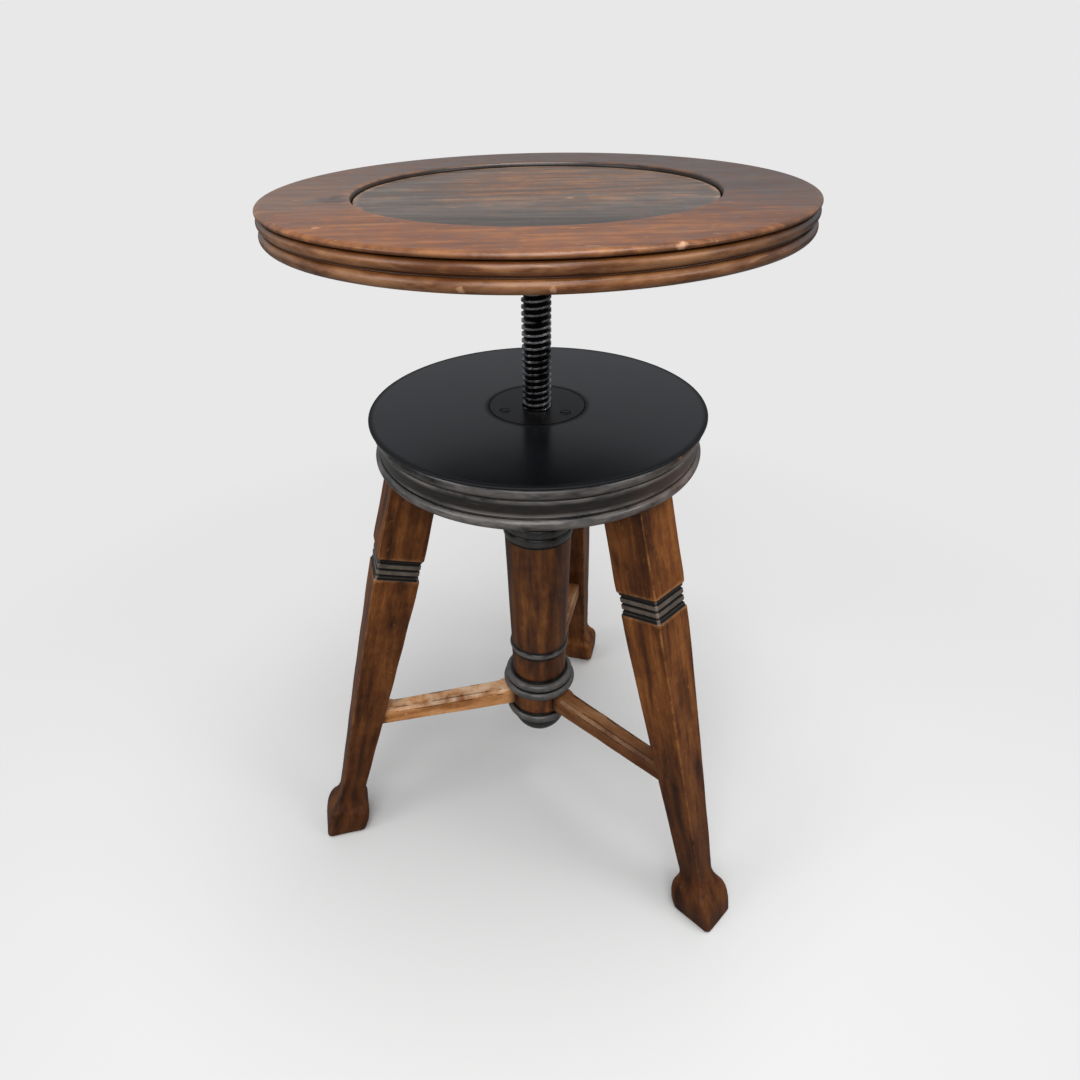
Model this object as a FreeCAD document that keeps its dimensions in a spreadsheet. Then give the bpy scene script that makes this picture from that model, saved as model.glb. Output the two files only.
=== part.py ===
"""Revolving piano stool: a round turned seat on an iron screw, which runs in a nut let into a
round head. Three square legs and a turned pillar hang from the head, and three stretchers tie
the legs to the foot of the pillar. Millimetres and degrees; +Z is up, the floor is Z = 0 and the
screw's axis is X = Y = 0. Every size is a plain number in the sheet, and every outline, bore and
place is a text that is worked out from those names."""
import FreeCAD, Part
import os
import re
import Sketcher
from FreeCAD import Vector

os.makedirs("parts", exist_ok=True)
doc = FreeCAD.newDocument("revolving_piano_stool")

SIZES = [
    ("overall_height", 609, "floor to the top of the seat's rim, as the screw is set here"),
    ("fit_gap", 0.1, "clearance on the radius of a glued tenon, a pin or a screw"),
    ("seat_diameter", 360, "over the lip"),
    ("seat_thick", 20, "rim to underside"),
    ("lip_high", 3.2, "rounded lip above the first quirk"),
    ("quirk_wide", 0.9, "sawn line between two beads"),
    ("quirk_deep", 3.4, "from the edge of the seat"),
    ("bead_bow", 1.9, "how far a seat bead stands out of its own chord"),
    ("rim_round", 2.5, "inner edge of the rim"),
    ("panel_diameter", 240, "inset panel"),
    ("panel_thick", 5, "inset panel"),
    ("panel_sunk", 3, "panel below the rim"),
    ("panel_gap", 0.6, "open joint round the panel"),
    ("flange_diameter", 112, "iron flange under the seat"),
    ("flange_thick", 4.5, "plate of the flange"),
    ("flange_web", 5, "cone between plate and hub"),
    ("hub_diameter", 40, "hub of the flange"),
    ("hub_high", 22, "plate and hub together"),
    ("flange_screw_circle", 88, "pitch circle of the flange's wood screws"),
    ("flange_screw_long", 14, "head face to point"),
    ("screw_diameter", 22, "over the thread of the seat's screw"),
    ("screw_clearance", 0.15, "between thread and nut, on the radius"),
    ("shank_diameter", 17, "plain top of the screw, riveted into the flange"),
    ("pin_diameter", 5, "cross pin through hub and shank"),
    ("pin_height", 11, "cross pin above the underside of the hub"),
    ("rise_left", 40, "from the nut's lower end down to the lower end of the thread"),
    ("journal_diameter", 14, "plain neck that carries the loose washer"),
    ("washer_diameter", 30, "stop washer"),
    ("washer_thick", 3, "stop washer"),
    ("washer_play", 0.3, "clearance of the washer on its neck, all round"),
    ("stud_diameter", 12, "stud below the neck"),
    ("stud_long", 11, "stud below the neck"),
    ("stop_nut_flats", 19, "hexagon, across flats"),
    ("stop_nut_high", 8, "hexagon"),
    ("split_pin_diameter", 3, "through nut and stud"),
    ("head_top", 456, "top of the head above the floor"),
    ("top_diameter", 262, "black disc"),
    ("top_thick", 4, "black disc"),
    ("top_round", 1.6, "edge of the black disc"),
    ("drum_diameter", 258, "over the lower bead of the head"),
    ("drum_high", 31.5, "head without the black disc"),
    ("drum_bead_high", 8, "upper bead"),
    ("drum_bead_in", 1, "upper bead, inside the widest radius"),
    ("drum_base_high", 8.5, "lower bead"),
    ("fascia_in", 3.2, "plain band, inside the widest radius"),
    ("fascia_quirk", 1.2, "sawn line above and below the plain band"),
    ("nut_plate_diameter", 74, "flush iron plate"),
    ("nut_barrel_diameter", 30, "nut below the plate"),
    ("nut_barrel_long", 56, "nut below the plate"),
    ("plate_screw_circle", 54, "pitch circle of the plate's wood screws"),
    ("plate_screw_long", 24, "head face to point"),
    ("plate_screw_turn", -36.5, "bearing of the first plate screw"),
    ("wood_screw_head", 9, "countersunk head"),
    ("wood_screw_shank", 4.6, "shank"),
    ("pillar_tenon", 46, "pillar inside the head"),
    ("pillar_top_diameter", 59.4, "below the head"),
    ("pillar_waist_diameter", 53, "narrow end of the taper"),
    ("pillar_bore", 33, "well for nut and screw"),
    ("pillar_bore_floor", 228, "bottom of the well above the floor"),
    ("pillar_band_below", 56.5, "head to the black grooved band of the pillar"),
    ("pillar_band_wide", 26, "black grooved band of the pillar"),
    ("band_stands", 0.9, "band outside the shaft"),
    ("ring_height", 210, "thin ring of the pillar"),
    ("ring_thick", 6, "thin ring of the pillar"),
    ("ring_stands", 1.6, "thin ring outside the shaft"),
    ("small_bead_diameter", 66, "upper bead of the knop"),
    ("small_bead_height", 172, "middle of that bead"),
    ("small_bead_high", 8, "upper bead of the knop"),
    ("big_bead_diameter", 71, "main bead of the knop"),
    ("big_bead_height", 163, "middle of that bead"),
    ("big_bead_high", 9.4, "main bead of the knop"),
    ("neck_diameter", 57, "plain neck that the stretchers enter"),
    ("low_bead_diameter", 66, "bead below the neck"),
    ("low_bead_height", 128.5, "middle of that bead"),
    ("low_bead_high", 9.2, "bead below the neck"),
    ("drop_diameter", 54, "black drop under the pillar"),
    ("drop_high", 31, "black drop under the pillar"),
    ("drop_tenon", 14, "spigot of the drop"),
    ("drop_tenon_long", 12, "spigot of the drop"),
    ("leg_bearing", -44.8, "bearing of the first leg about the screw"),
    ("leg_splay", 16, "lean of each leg"),
    ("foot_circle", 440, "circle through the middle of the feet"),
    ("leg_top_side", 39.2, "side of the square leg under the head"),
    ("leg_band_side", 36.8, "side at the reeded band"),
    ("leg_swell_side", 39, "side just below the band"),
    ("leg_middle_side", 31.8, "side half way to the ankle"),
    ("ankle_side", 22.8, "side above the foot"),
    ("leg_slim", 1, "how much less each half side is across than in and out"),
    ("leg_band_below", 83.6, "head to the reeded band, along the leg"),
    ("leg_band_wide", 18, "reeded band, along the leg"),
    ("band_shoulder", 2, "length of the sloped shoulders at the band"),
    ("reed_pitch", 6.2, "groove to groove"),
    ("groove_wide", 2.6, "band grooves"),
    ("groove_deep", 1.6, "band grooves"),
    ("ankle_height", 51, "narrowest place of the leg"),
    ("foot_side", 42.4, "widest place of the foot"),
    ("foot_brow", 32, "where the hollow of the ankle ends"),
    ("foot_widest", 15, "widest place of the foot above the floor"),
    ("sole_side", 40, "where the foot meets the floor"),
    ("sole_round", 3.5, "lower edges of the foot"),
    ("leg_tenon_diameter", 22, "round tenon into the head"),
    ("leg_tenon_long", 24, "round tenon into the head"),
    ("stretcher_lift", 2.2, "rise of the stretcher towards the leg"),
    ("stretcher_inner", 19.5, "side of the stretcher at the pillar"),
    ("stretcher_outer", 16, "side of the stretcher at the leg"),
    ("stretcher_chamfer", 3, "stopped chamfers on the upper edges"),
    ("chamfer_stop", 9, "length left square at each end"),
    ("stretcher_tenon", 11, "round tenons of the stretcher"),
    ("stretcher_tenon_long", 13, "round tenons of the stretcher"),
]

sheet = doc.addObject("Spreadsheet::Sheet", "Sizes")
for row, (alias, number, meaning) in enumerate(SIZES, 1):
    sheet.set(f"A{row}", meaning)
    sheet.set(f"B{row}", str(number))
    sheet.setAlias(f"B{row}", alias)
doc.recompute()

ALIAS = re.compile(r"\b(" + "|".join(alias for alias, _, _ in SIZES) + r")\b")


def sized(text):
    """Make a text with size names into an expression that reads the sheet."""
    return ALIAS.sub(r"Sizes.\1", str(text))


def value(text):
    """Work such a text out as a number."""
    result = sheet.evalExpression(sized(text))
    return float(getattr(result, "Value", result))


def vector(point):
    return Vector(value(point[0]), value(point[1]), 0)


def new_body(label, placement=None):
    """One piece of the stool; placement is an expression."""
    body = doc.addObject("PartDesign::Body", label)
    body.Label = label
    if placement:
        body.setExpression("Placement", sized(placement))
    return body


def new_sketch(body, name, role, rise="0", tilt=None):
    """Sketch on an origin plane, moved along its normal and tipped about its own first axis."""
    sketch = body.newObject("Sketcher::SketchObject", f"{body.Name}_{name}")
    plane = next(item for item in body.Origin.OriginFeatures if item.Role == role)
    sketch.AttachmentSupport = [(plane, "")]
    sketch.MapMode = "FlatFace"
    turned = f"rotation(vector(1;0;0);{tilt})" if tilt else "rotation(vector(1;0;0);0)"
    sketch.setExpression("AttachmentOffset", sized(f"placement(vector(0;0;{rise});{turned})"))
    return sketch


def pin(sketch, geometry, end, point):
    """Hold a sketch point at the place that two texts give."""
    for kind, text, axis in (("DistanceX", point[0], -2), ("DistanceY", point[1], -1)):
        if text == "0":
            sketch.addConstraint(Sketcher.Constraint("PointOnObject", geometry, end, axis))
            continue
        rule = Sketcher.Constraint(kind, -1, 1, geometry, end, value(text))
        number = sketch.addConstraint(rule)
        sketch.setExpression(f"Constraints[{number}]", sized(text))


def draw(sketch, points):
    """Closed outline. A point is (x, y), and (x, y, "via") is where an arc passes between the
    corners before and after it."""
    edges = []
    for index, point in enumerate(points):
        if len(point) == 3:
            continue
        after = points[(index + 1) % len(points)]
        if len(after) == 3:
            far = points[(index + 2) % len(points)]
            geometry = sketch.addGeometry(Part.Arc(vector(point), vector(after), vector(far)), False)
            mark = sketch.addGeometry(Part.Point(vector(after)), True)
            sketch.addConstraint(Sketcher.Constraint("PointOnObject", mark, 1, geometry))
            pin(sketch, mark, 1, after)
        else:
            geometry = sketch.addGeometry(Part.LineSegment(vector(point), vector(after)), False)
        begins = 1 if sketch.getPoint(geometry, 1).distanceToPoint(vector(point)) < 1e-6 else 2
        pin(sketch, geometry, begins, point)
        edges.append((geometry, begins))
    for (geometry, begins), (follower, start) in zip(edges, edges[1:] + edges[:1]):
        sketch.addConstraint(Sketcher.Constraint("Coincident", geometry, 3 - begins, follower, start))


def circle(sketch, across, centre=("0", "0")):
    """Circle of a given diameter about a pinned centre."""
    ring = Part.Circle(vector(centre), Vector(0, 0, 1), value(across) / 2)
    geometry = sketch.addGeometry(ring, False)
    pin(sketch, geometry, 3, centre)
    number = sketch.addConstraint(Sketcher.Constraint("Diameter", geometry, value(across)))
    sketch.setExpression(f"Constraints[{number}]", sized(across))


def turned(label, points, placement=None):
    """A piece from the lathe: its half outline, as (radius, height), spun about the body's Z."""
    body = new_body(label, placement)
    sketch = new_sketch(body, "outline", "XZ_Plane")
    draw(sketch, points)
    turning = body.newObject("PartDesign::Revolution", f"{label}_turning")
    turning.Profile = sketch
    turning.ReferenceAxis = (sketch, ["V_Axis"])
    turning.Angle = 360
    doc.recompute()
    return body


def prism(body, name, sketch, length, kind="Pad", both_ways=True):
    """Pad or pocket of a sketch, to both sides of it or along its normal."""
    feature = body.newObject(f"PartDesign::{kind}", f"{body.Name}_{name}")
    feature.Profile = sketch
    feature.setExpression("Length", sized(length))
    if both_ways:
        feature.Midplane = True
    elif kind == "Pocket":
        feature.Reversed = True
    doc.recompute()
    return feature


def rod(body, name, diameter, length, placement, kind="Additive"):
    """Round tenon or bore: a cylinder that is added to or taken from the body."""
    feature = body.newObject(f"PartDesign::{kind}Cylinder", f"{body.Name}_{name}")
    feature.setExpression("Radius", sized(f"({diameter}) / 2"))
    feature.setExpression("Height", sized(length))
    feature.MapMode = "Deactivated"
    feature.setExpression("Placement", sized(placement))
    doc.recompute()
    return feature


def place(x, y, z, turn="rotation(vector(0;0;1);0)"):
    """Text of a placement from the texts of its base and rotation."""
    return f"placement(vector({x};{y};{z});{turn})"


def spin(axis, angle):
    """Text of a rotation about X, Y or Z."""
    unit = {"X": "1;0;0", "Y": "0;1;0", "Z": "0;0;1"}[axis]
    return f"rotation(vector({unit});{angle})"


# The seat: one turned board with a moulded edge and a sunk panel
RIM = "overall_height"
SEAT_UNDER = "(overall_height - seat_thick)"
SEAT_EDGE = "(seat_diameter / 2)"
WELL = "(panel_diameter / 2 + panel_gap)"
SEAT_BEAD = "((seat_thick - lip_high - 2 * quirk_wide) / 2)"


def seat_board():
    """A broad flat rim, a rounded lip and two bold beads parted by narrow quirks."""
    quirk = f"{SEAT_EDGE} - quirk_deep"
    lip_low = f"{RIM} - lip_high"
    upper_top = f"{lip_low} - quirk_wide"
    upper_low = f"{upper_top} - {SEAT_BEAD}"
    lower_top = f"{upper_low} - quirk_wide"
    bead_root = f"{SEAT_EDGE} - bead_bow"
    body = turned("seat_board", [
        ("0", SEAT_UNDER), (bead_root, SEAT_UNDER),
        (SEAT_EDGE, f"{SEAT_UNDER} + {SEAT_BEAD} / 2", "via"),
        (bead_root, lower_top), (quirk, lower_top), (quirk, upper_low), (bead_root, upper_low),
        (SEAT_EDGE, f"{upper_low} + {SEAT_BEAD} / 2", "via"),
        (bead_root, upper_top), (quirk, upper_top), (quirk, lip_low),
        (f"{SEAT_EDGE} - lip_high / 3", lip_low),
        (f"{SEAT_EDGE} - lip_high / 20", f"{RIM} - lip_high * 0.75", "via"),
        (SEAT_EDGE, f"{RIM} - lip_high / 2"),
        (f"{SEAT_EDGE} - lip_high * 0.969", f"{RIM} - lip_high * 0.127", "via"),
        (f"{SEAT_EDGE} - lip_high * 2", RIM),
        (f"{WELL} + rim_round", RIM),
        (f"{WELL} + rim_round * 0.293", f"{RIM} - rim_round * 0.293", "via"),
        (WELL, f"{RIM} - rim_round"),
        (WELL, f"{RIM} - panel_sunk - panel_thick"),
        ("0", f"{RIM} - panel_sunk - panel_thick")])
    for number, bearing in enumerate(FLANGE_BEARINGS):
        rod(body, f"screw_way_{number}", "wood_screw_shank + 2 * fit_gap", "flange_screw_long",
            place(f"flange_screw_circle / 2 * cos({bearing})",
                  f"flange_screw_circle / 2 * sin({bearing})",
                  f"{SEAT_UNDER} - flange_thick + 0.5"), "Subtractive")
    return body


def seat_panel():
    """A thin veneered disc with an eased upper edge, laid in the seat's well."""
    edge = "panel_diameter / 2"
    top = f"{RIM} - panel_sunk"
    return turned("seat_panel", [
        ("0", f"{top} - panel_thick"), (edge, f"{top} - panel_thick"),
        (edge, f"{top} - panel_thick / 6"), (f"{edge} - panel_thick / 6", top), ("0", top)])


# The iron under the seat: flange, screw and the stops at the screw's foot
HUB_LOW = f"({SEAT_UNDER} - hub_high)"
SCREW_END = "(head_top - top_thick - nut_barrel_long - rise_left)"
PLATE_LOW = f"({SEAT_UNDER} - flange_thick)"


def countersunk(body, name, face, circle_text, bearings, down):
    """Conical seats for wood screws, sunk from a flat face; down is 1 or -1 along Z."""
    for number, bearing in enumerate(bearings):
        cone = body.newObject("PartDesign::SubtractiveCone", f"{body.Name}_{name}_{number}")
        wide = "wood_screw_head / 2 + fit_gap"
        narrow = "wood_screw_shank / 2 + fit_gap"
        cone.setExpression("Radius1", sized(wide if down > 0 else narrow))
        cone.setExpression("Radius2", sized(narrow if down > 0 else wide))
        depth = "(wood_screw_head - wood_screw_shank) / 2"
        cone.setExpression("Height", sized(depth))
        cone.MapMode = "Deactivated"
        bottom = face if down > 0 else f"{face} - {depth}"
        x = f"{circle_text} / 2 * cos({bearing})"
        y = f"{circle_text} / 2 * sin({bearing})"
        cone.setExpression("Placement", sized(place(x, y, bottom)))
        rod(body, f"{name}_way_{number}", "wood_screw_shank + 2 * fit_gap",
            "2 * flange_thick + 2 * top_thick", place(x, y, f"{face} - flange_thick - top_thick"),
            "Subtractive")


def wood_screws(label, face, circle_text, bearings, long_text, down):
    """Countersunk wood screws as one group: head, shank and gimlet point, each spun from its
    own half outline. down is 1 where the head looks down and the point goes up."""
    way = "" if down > 0 else "-"
    sunk = f"{way}(wood_screw_head - wood_screw_shank) / 2"
    half_shank = "wood_screw_shank / 2"
    body = new_body(label)
    sketch = new_sketch(body, "outline", "XZ_Plane")
    offset = f"{circle_text} / 2"
    sign = "+" if down > 0 else "-"
    draw(sketch, [
        (f"{offset}", f"{face}"), (f"{offset} + wood_screw_head / 2", f"{face}"),
        (f"{offset} + {half_shank}", f"{face} + {sunk}"),
        (f"{offset} + {half_shank}", f"{face} {sign} {long_text} * 0.75"),
        (f"{offset}", f"{face} {sign} {long_text}")])
    turning = body.newObject("PartDesign::Revolution", f"{label}_turning")
    turning.Profile = sketch
    line = sketch.addGeometry(Part.LineSegment(vector((offset, face)),
                                               vector((offset, f"{face} + 1"))), True)
    pin(sketch, line, 1, (offset, face))
    pin(sketch, line, 2, (offset, f"{face} + 1"))
    turning.ReferenceAxis = (sketch, ["Axis0"])
    turning.Angle = 360
    doc.recompute()
    ring = body.newObject("PartDesign::PolarPattern", f"{label}_ring")
    ring.Originals = [turning]
    ring.Axis = (next(item for item in body.Origin.OriginFeatures if item.Role == "Z_Axis"), [""])
    ring.Angle = 360
    ring.Occurrences = len(bearings)
    body.Tip = ring
    body.setExpression("Placement", sized(place("0", "0", "0", spin("Z", bearings[0]))))
    doc.recompute()
    return body


FLANGE_BEARINGS = ["45", "135", "225", "315"]
PLATE_BEARINGS = [f"(plate_screw_turn + {120 * number})" for number in range(3)]


def seat_flange():
    """A round plate with a coned hub, bored for the riveted shank and its cross pin."""
    body = turned("seat_flange", [
        ("shank_diameter / 2 + fit_gap", SEAT_UNDER), ("flange_diameter / 2", SEAT_UNDER),
        ("flange_diameter / 2", f"{PLATE_LOW} + flange_thick / 3"),
        ("flange_diameter / 2 - flange_thick / 3", PLATE_LOW),
        ("hub_diameter / 2 + flange_web", PLATE_LOW),
        ("hub_diameter / 2", f"{PLATE_LOW} - flange_web"),
        ("hub_diameter / 2", f"{HUB_LOW} + 1.5"), ("hub_diameter / 2 - 1.5", HUB_LOW),
        ("shank_diameter / 2 + fit_gap", HUB_LOW)])
    countersunk(body, "seat", PLATE_LOW, "flange_screw_circle", FLANGE_BEARINGS, 1)
    rod(body, "pin_way", "pin_diameter + 2 * fit_gap", "hub_diameter * 2",
        place("-hub_diameter", "0", f"{HUB_LOW} + pin_height", spin("Y", 90)), "Subtractive")
    return body


def flange_pin():
    """The pin across the hub that keeps the seat from turning on its screw."""
    body = new_body("flange_pin")
    rod(body, "rod", "pin_diameter", "hub_diameter - 0.6",
        place("-hub_diameter / 2 + 0.3", "0", f"{HUB_LOW} + pin_height", spin("Y", 90)))
    return body


def seat_spindle():
    """The screw as a rod over its thread, with the shank above, and neck and stud below."""
    screw = "screw_diameter / 2"
    neck = "(washer_thick + 2 * washer_play)"
    body = turned("seat_spindle", [
        ("0", f"{SEAT_UNDER} - 0.3"), ("shank_diameter / 2", f"{SEAT_UNDER} - 0.3"),
        ("shank_diameter / 2", HUB_LOW), (f"{screw} - 1.2", HUB_LOW), (screw, f"{HUB_LOW} - 1.2"),
        (screw, f"{SCREW_END} + 1.2"), (f"{screw} - 1.2", SCREW_END),
        ("journal_diameter / 2", SCREW_END),
        ("journal_diameter / 2", f"{SCREW_END} - {neck}"),
        ("stud_diameter / 2", f"{SCREW_END} - {neck}"),
        ("stud_diameter / 2", f"{SCREW_END} - {neck} - stud_long + 1"),
        ("stud_diameter / 2 - 1", f"{SCREW_END} - {neck} - stud_long"),
        ("0", f"{SCREW_END} - {neck} - stud_long")])
    rod(body, "pin_way", "pin_diameter + 2 * fit_gap", "screw_diameter * 2",
        place("-screw_diameter", "0", f"{HUB_LOW} + pin_height", spin("Y", 90)), "Subtractive")
    rod(body, "split_way", "split_pin_diameter + 2 * fit_gap", "screw_diameter * 2",
        place("-screw_diameter", "0", STOP_NUT_MIDDLE, spin("Y", 90)), "Subtractive")
    return body


NUT_SEAT = f"({SCREW_END} - washer_thick - 2 * washer_play)"
STOP_NUT_MIDDLE = f"({NUT_SEAT} - stop_nut_high / 2)"


def stop_washer():
    """The loose washer that meets the nut's barrel when the seat is at its highest."""
    bore = "journal_diameter / 2 + washer_play"
    low = f"{SCREW_END} - washer_thick - washer_play"
    high = f"{SCREW_END} - washer_play"
    edge = "washer_diameter / 2"
    return turned("stop_washer", [(bore, low), (edge, low), (edge, high), (bore, high)])


def stop_nut():
    """The hexagon that holds the washer, cross-bored for its split pin."""
    body = new_body("stop_nut")
    sketch = new_sketch(body, "hexagon", "XY_Plane", f"{NUT_SEAT} - stop_nut_high")
    corner = "stop_nut_flats / sqrt(3)"
    draw(sketch, [(f"{corner} * cos({angle})", f"{corner} * sin({angle})")
                  for angle in range(10, 370, 60)])
    circle(sketch, "stud_diameter + 2 * fit_gap")
    prism(body, "block", sketch, "stop_nut_high", both_ways=False)
    rod(body, "split_way", "split_pin_diameter + 2 * fit_gap", "stop_nut_flats * 2",
        place("-stop_nut_flats", "0", STOP_NUT_MIDDLE, spin("Y", 90)), "Subtractive")
    return body


def split_pin():
    """The pin through the hexagon and the stud."""
    body = new_body("split_pin")
    rod(body, "rod", "split_pin_diameter", "stop_nut_flats + 4",
        place("-stop_nut_flats / 2 - 2", "0", STOP_NUT_MIDDLE, spin("Y", 90)))
    return body


# The head: black disc, moulded drum and the iron nut let into both
DRUM_TOP = "(head_top - top_thick)"
DRUM_LOW = "(head_top - top_thick - drum_high)"
DRUM_EDGE = "(drum_diameter / 2)"
LEG_BEARINGS = [f"(leg_bearing + {120 * number})" for number in range(3)]


def leg_axis(bearing, height, back="0"):
    """Placement text on a leg's axis at a height above the floor, Z along the leg; back shifts
    it down the leg."""
    out = f"(foot_circle / 2 - ({height}) * tan(leg_splay) + ({back}) * sin(leg_splay))"
    return place(f"{out} * cos({bearing})", f"{out} * sin({bearing})",
                 f"{height} - ({back}) * cos(leg_splay)",
                 f"{spin('Z', bearing)} * {spin('Y', '-leg_splay')}")


def base_top():
    """The black disc, cut out for the nut's plate."""
    hole = "nut_plate_diameter / 2 + fit_gap"
    edge = "top_diameter / 2"
    return turned("base_top", [
        (hole, DRUM_TOP), (f"{edge} - top_round / 2", DRUM_TOP),
        (edge, f"{DRUM_TOP} + top_thick / 2", "via"),
        (f"{edge} - top_round / 2", "head_top"), (hole, "head_top")])


def base_drum():
    """The turned block under the disc: bead, plain band and lower bead, with a hole for the
    pillar's tenon and three slanted mortises for the legs."""
    hole = "pillar_tenon / 2 + fit_gap"
    band = f"{DRUM_EDGE} - fascia_in"
    quirk = f"{band} - fascia_quirk"
    upper = f"{DRUM_EDGE} - drum_bead_in"
    bead_low = f"{DRUM_TOP} - drum_bead_high"
    base_top_edge = f"{DRUM_LOW} + drum_base_high"
    body = turned("base_drum", [
        (hole, DRUM_LOW), (f"{DRUM_EDGE} - drum_base_high * 0.35", DRUM_LOW),
        (DRUM_EDGE, f"{DRUM_LOW} + drum_base_high / 2", "via"),
        (f"{DRUM_EDGE} - drum_base_high * 0.35", base_top_edge),
        (quirk, base_top_edge), (quirk, f"{base_top_edge} + fascia_quirk"),
        (band, f"{base_top_edge} + fascia_quirk"), (band, f"{bead_low} - fascia_quirk"),
        (quirk, f"{bead_low} - fascia_quirk"), (quirk, bead_low),
        (f"{upper} - drum_bead_high * 0.35", bead_low),
        (upper, f"{bead_low} + drum_bead_high / 2", "via"),
        (f"{upper} - drum_bead_high * 0.35", DRUM_TOP), (hole, DRUM_TOP)])
    for number, bearing in enumerate(LEG_BEARINGS):
        rod(body, f"leg_mortise_{number}", "leg_tenon_diameter + 2 * fit_gap",
            "leg_tenon_long + 11", leg_axis(bearing, DRUM_LOW, "10"), "Subtractive")
    for number, bearing in enumerate(PLATE_BEARINGS):
        x = f"plate_screw_circle / 2 * cos({bearing})"
        y = f"plate_screw_circle / 2 * sin({bearing})"
        rod(body, f"screw_way_{number}", "wood_screw_shank + 2 * fit_gap", "plate_screw_long",
            place(x, y, f"head_top - plate_screw_long - 1"), "Subtractive")
    return body


def nut_plate():
    """The iron nut: a round plate, flush with the disc, on a long barrel bored for the screw."""
    bore = "screw_diameter / 2 + screw_clearance"
    body = turned("nut_plate", [
        (bore, "head_top - 0.8"), (f"{bore} + 0.8", "head_top"),
        ("nut_plate_diameter / 2", "head_top"), ("nut_plate_diameter / 2", DRUM_TOP),
        ("nut_barrel_diameter / 2", DRUM_TOP),
        ("nut_barrel_diameter / 2", f"{DRUM_TOP} - nut_barrel_long"),
        (bore, f"{DRUM_TOP} - nut_barrel_long")])
    countersunk(body, "plate", "head_top", "plate_screw_circle", PLATE_BEARINGS, -1)
    return body


# The pillar that houses the screw, and the drop that closes it
NECK = "(neck_diameter / 2)"
PILLAR_END = "(low_bead_height - low_bead_high / 2)"


def pillar():
    """Tenon, shaft with a grooved band, long taper, thin ring, two beads, a plain neck for the
    stretchers and a last bead; a well for nut and screw runs down from the top."""
    shaft = "pillar_top_diameter / 2"
    waist = "pillar_waist_diameter / 2"
    root = f"{shaft} - 0.5"
    band_high = f"({DRUM_LOW} - pillar_band_below)"
    points = [
        ("pillar_bore / 2", "pillar_bore_floor"), ("pillar_bore / 2", DRUM_TOP),
        ("pillar_tenon / 2", DRUM_TOP), ("pillar_tenon / 2", DRUM_LOW), (shaft, DRUM_LOW),
        (shaft, f"{band_high} + 0.8"), (root, band_high)]
    for reed in range(3):
        middle = f"{band_high} - {reed + 0.5} / 3 * pillar_band_wide"
        points += [(f"{shaft} + band_stands", middle, "via"),
                   (root, f"{band_high} - {reed + 1} / 3 * pillar_band_wide")]
    points += [
        (f"{shaft} - 0.25", f"{band_high} - pillar_band_wide - 0.8"),
        (waist, "ring_height + ring_thick / 2"),
        (f"{waist} + ring_stands", "ring_height", "via"),
        (waist, "ring_height - ring_thick / 2"),
        (f"{waist} - 0.3", "small_bead_height + small_bead_high / 2"),
        ("(small_bead_diameter - small_bead_high) / 2", "small_bead_height + small_bead_high / 2"),
        ("small_bead_diameter / 2", "small_bead_height", "via"),
        ("(small_bead_diameter - small_bead_high) / 2", "big_bead_height + big_bead_high / 2"),
        ("big_bead_diameter / 2", "big_bead_height", "via"),
        ("(big_bead_diameter - big_bead_high) / 2", "big_bead_height - big_bead_high / 2"),
        (NECK, "big_bead_height - big_bead_high / 2"),
        (NECK, "low_bead_height + low_bead_high / 2"),
        ("low_bead_diameter / 2", "low_bead_height", "via"),
        (NECK, PILLAR_END), ("drop_tenon / 2 + fit_gap", PILLAR_END),
        ("drop_tenon / 2 + fit_gap", f"{PILLAR_END} + drop_tenon_long + 1"),
        ("0", f"{PILLAR_END} + drop_tenon_long + 1"), ("0", "pillar_bore_floor")]
    body = turned("pillar", points)
    start = "neck_diameter / 2 - stretcher_tenon_long - 1"
    for number, bearing in enumerate(LEG_BEARINGS):
        rod(body, f"stretcher_mortise_{number}", "stretcher_tenon + 2 * fit_gap",
            "neck_diameter / 2", stretcher_frame(bearing, start, f" * {spin('Y', 90)}"),
            "Subtractive")
    return body


def pillar_drop():
    """A half-round black drop on a spigot."""
    return turned("pillar_drop", [
        ("0", f"{PILLAR_END} - drop_high"),
        ("drop_diameter / 2 * 0.766", f"{PILLAR_END} - drop_high * 0.643", "via"),
        ("drop_diameter / 2", PILLAR_END), ("drop_tenon / 2", PILLAR_END),
        ("drop_tenon / 2", f"{PILLAR_END} + drop_tenon_long"),
        ("0", f"{PILLAR_END} + drop_tenon_long")])


# A stretcher's line on the pillar's axis, just under the main bead; where that line meets a leg,
# as a distance along the stretcher and one along the leg; and the straight length of the leg
STRETCHER_HEIGHT = ("(big_bead_height - big_bead_high / 2 - stretcher_inner / 2"
                    " - big_bead_diameter / 2 * sin(stretcher_lift))")
LEG_MEETS_AT = (f"((foot_circle / 2 - {STRETCHER_HEIGHT} * tan(leg_splay))"
                " / (cos(stretcher_lift) + sin(stretcher_lift) * tan(leg_splay)))")
MEETING = f"(({STRETCHER_HEIGHT} + {LEG_MEETS_AT} * sin(stretcher_lift)) / cos(leg_splay))"
ANKLE = "(ankle_height / cos(leg_splay))"
LEG_TOP = f"({DRUM_LOW} / cos(leg_splay))"
BAND_MIDDLE = f"({LEG_TOP} - leg_band_below - leg_band_wide / 2)"
LEG_MIDDLE = f"(({ANKLE} + {BAND_MIDDLE}) / 2)"


def leg_half(distance):
    """Half width of the leg at a distance along it, between ankle and middle."""
    share = f"(({distance}) - {ANKLE}) / ({LEG_MIDDLE} - {ANKLE})"
    return f"((ankle_side + (leg_middle_side - ankle_side) * {share}) / 2)"


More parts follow.
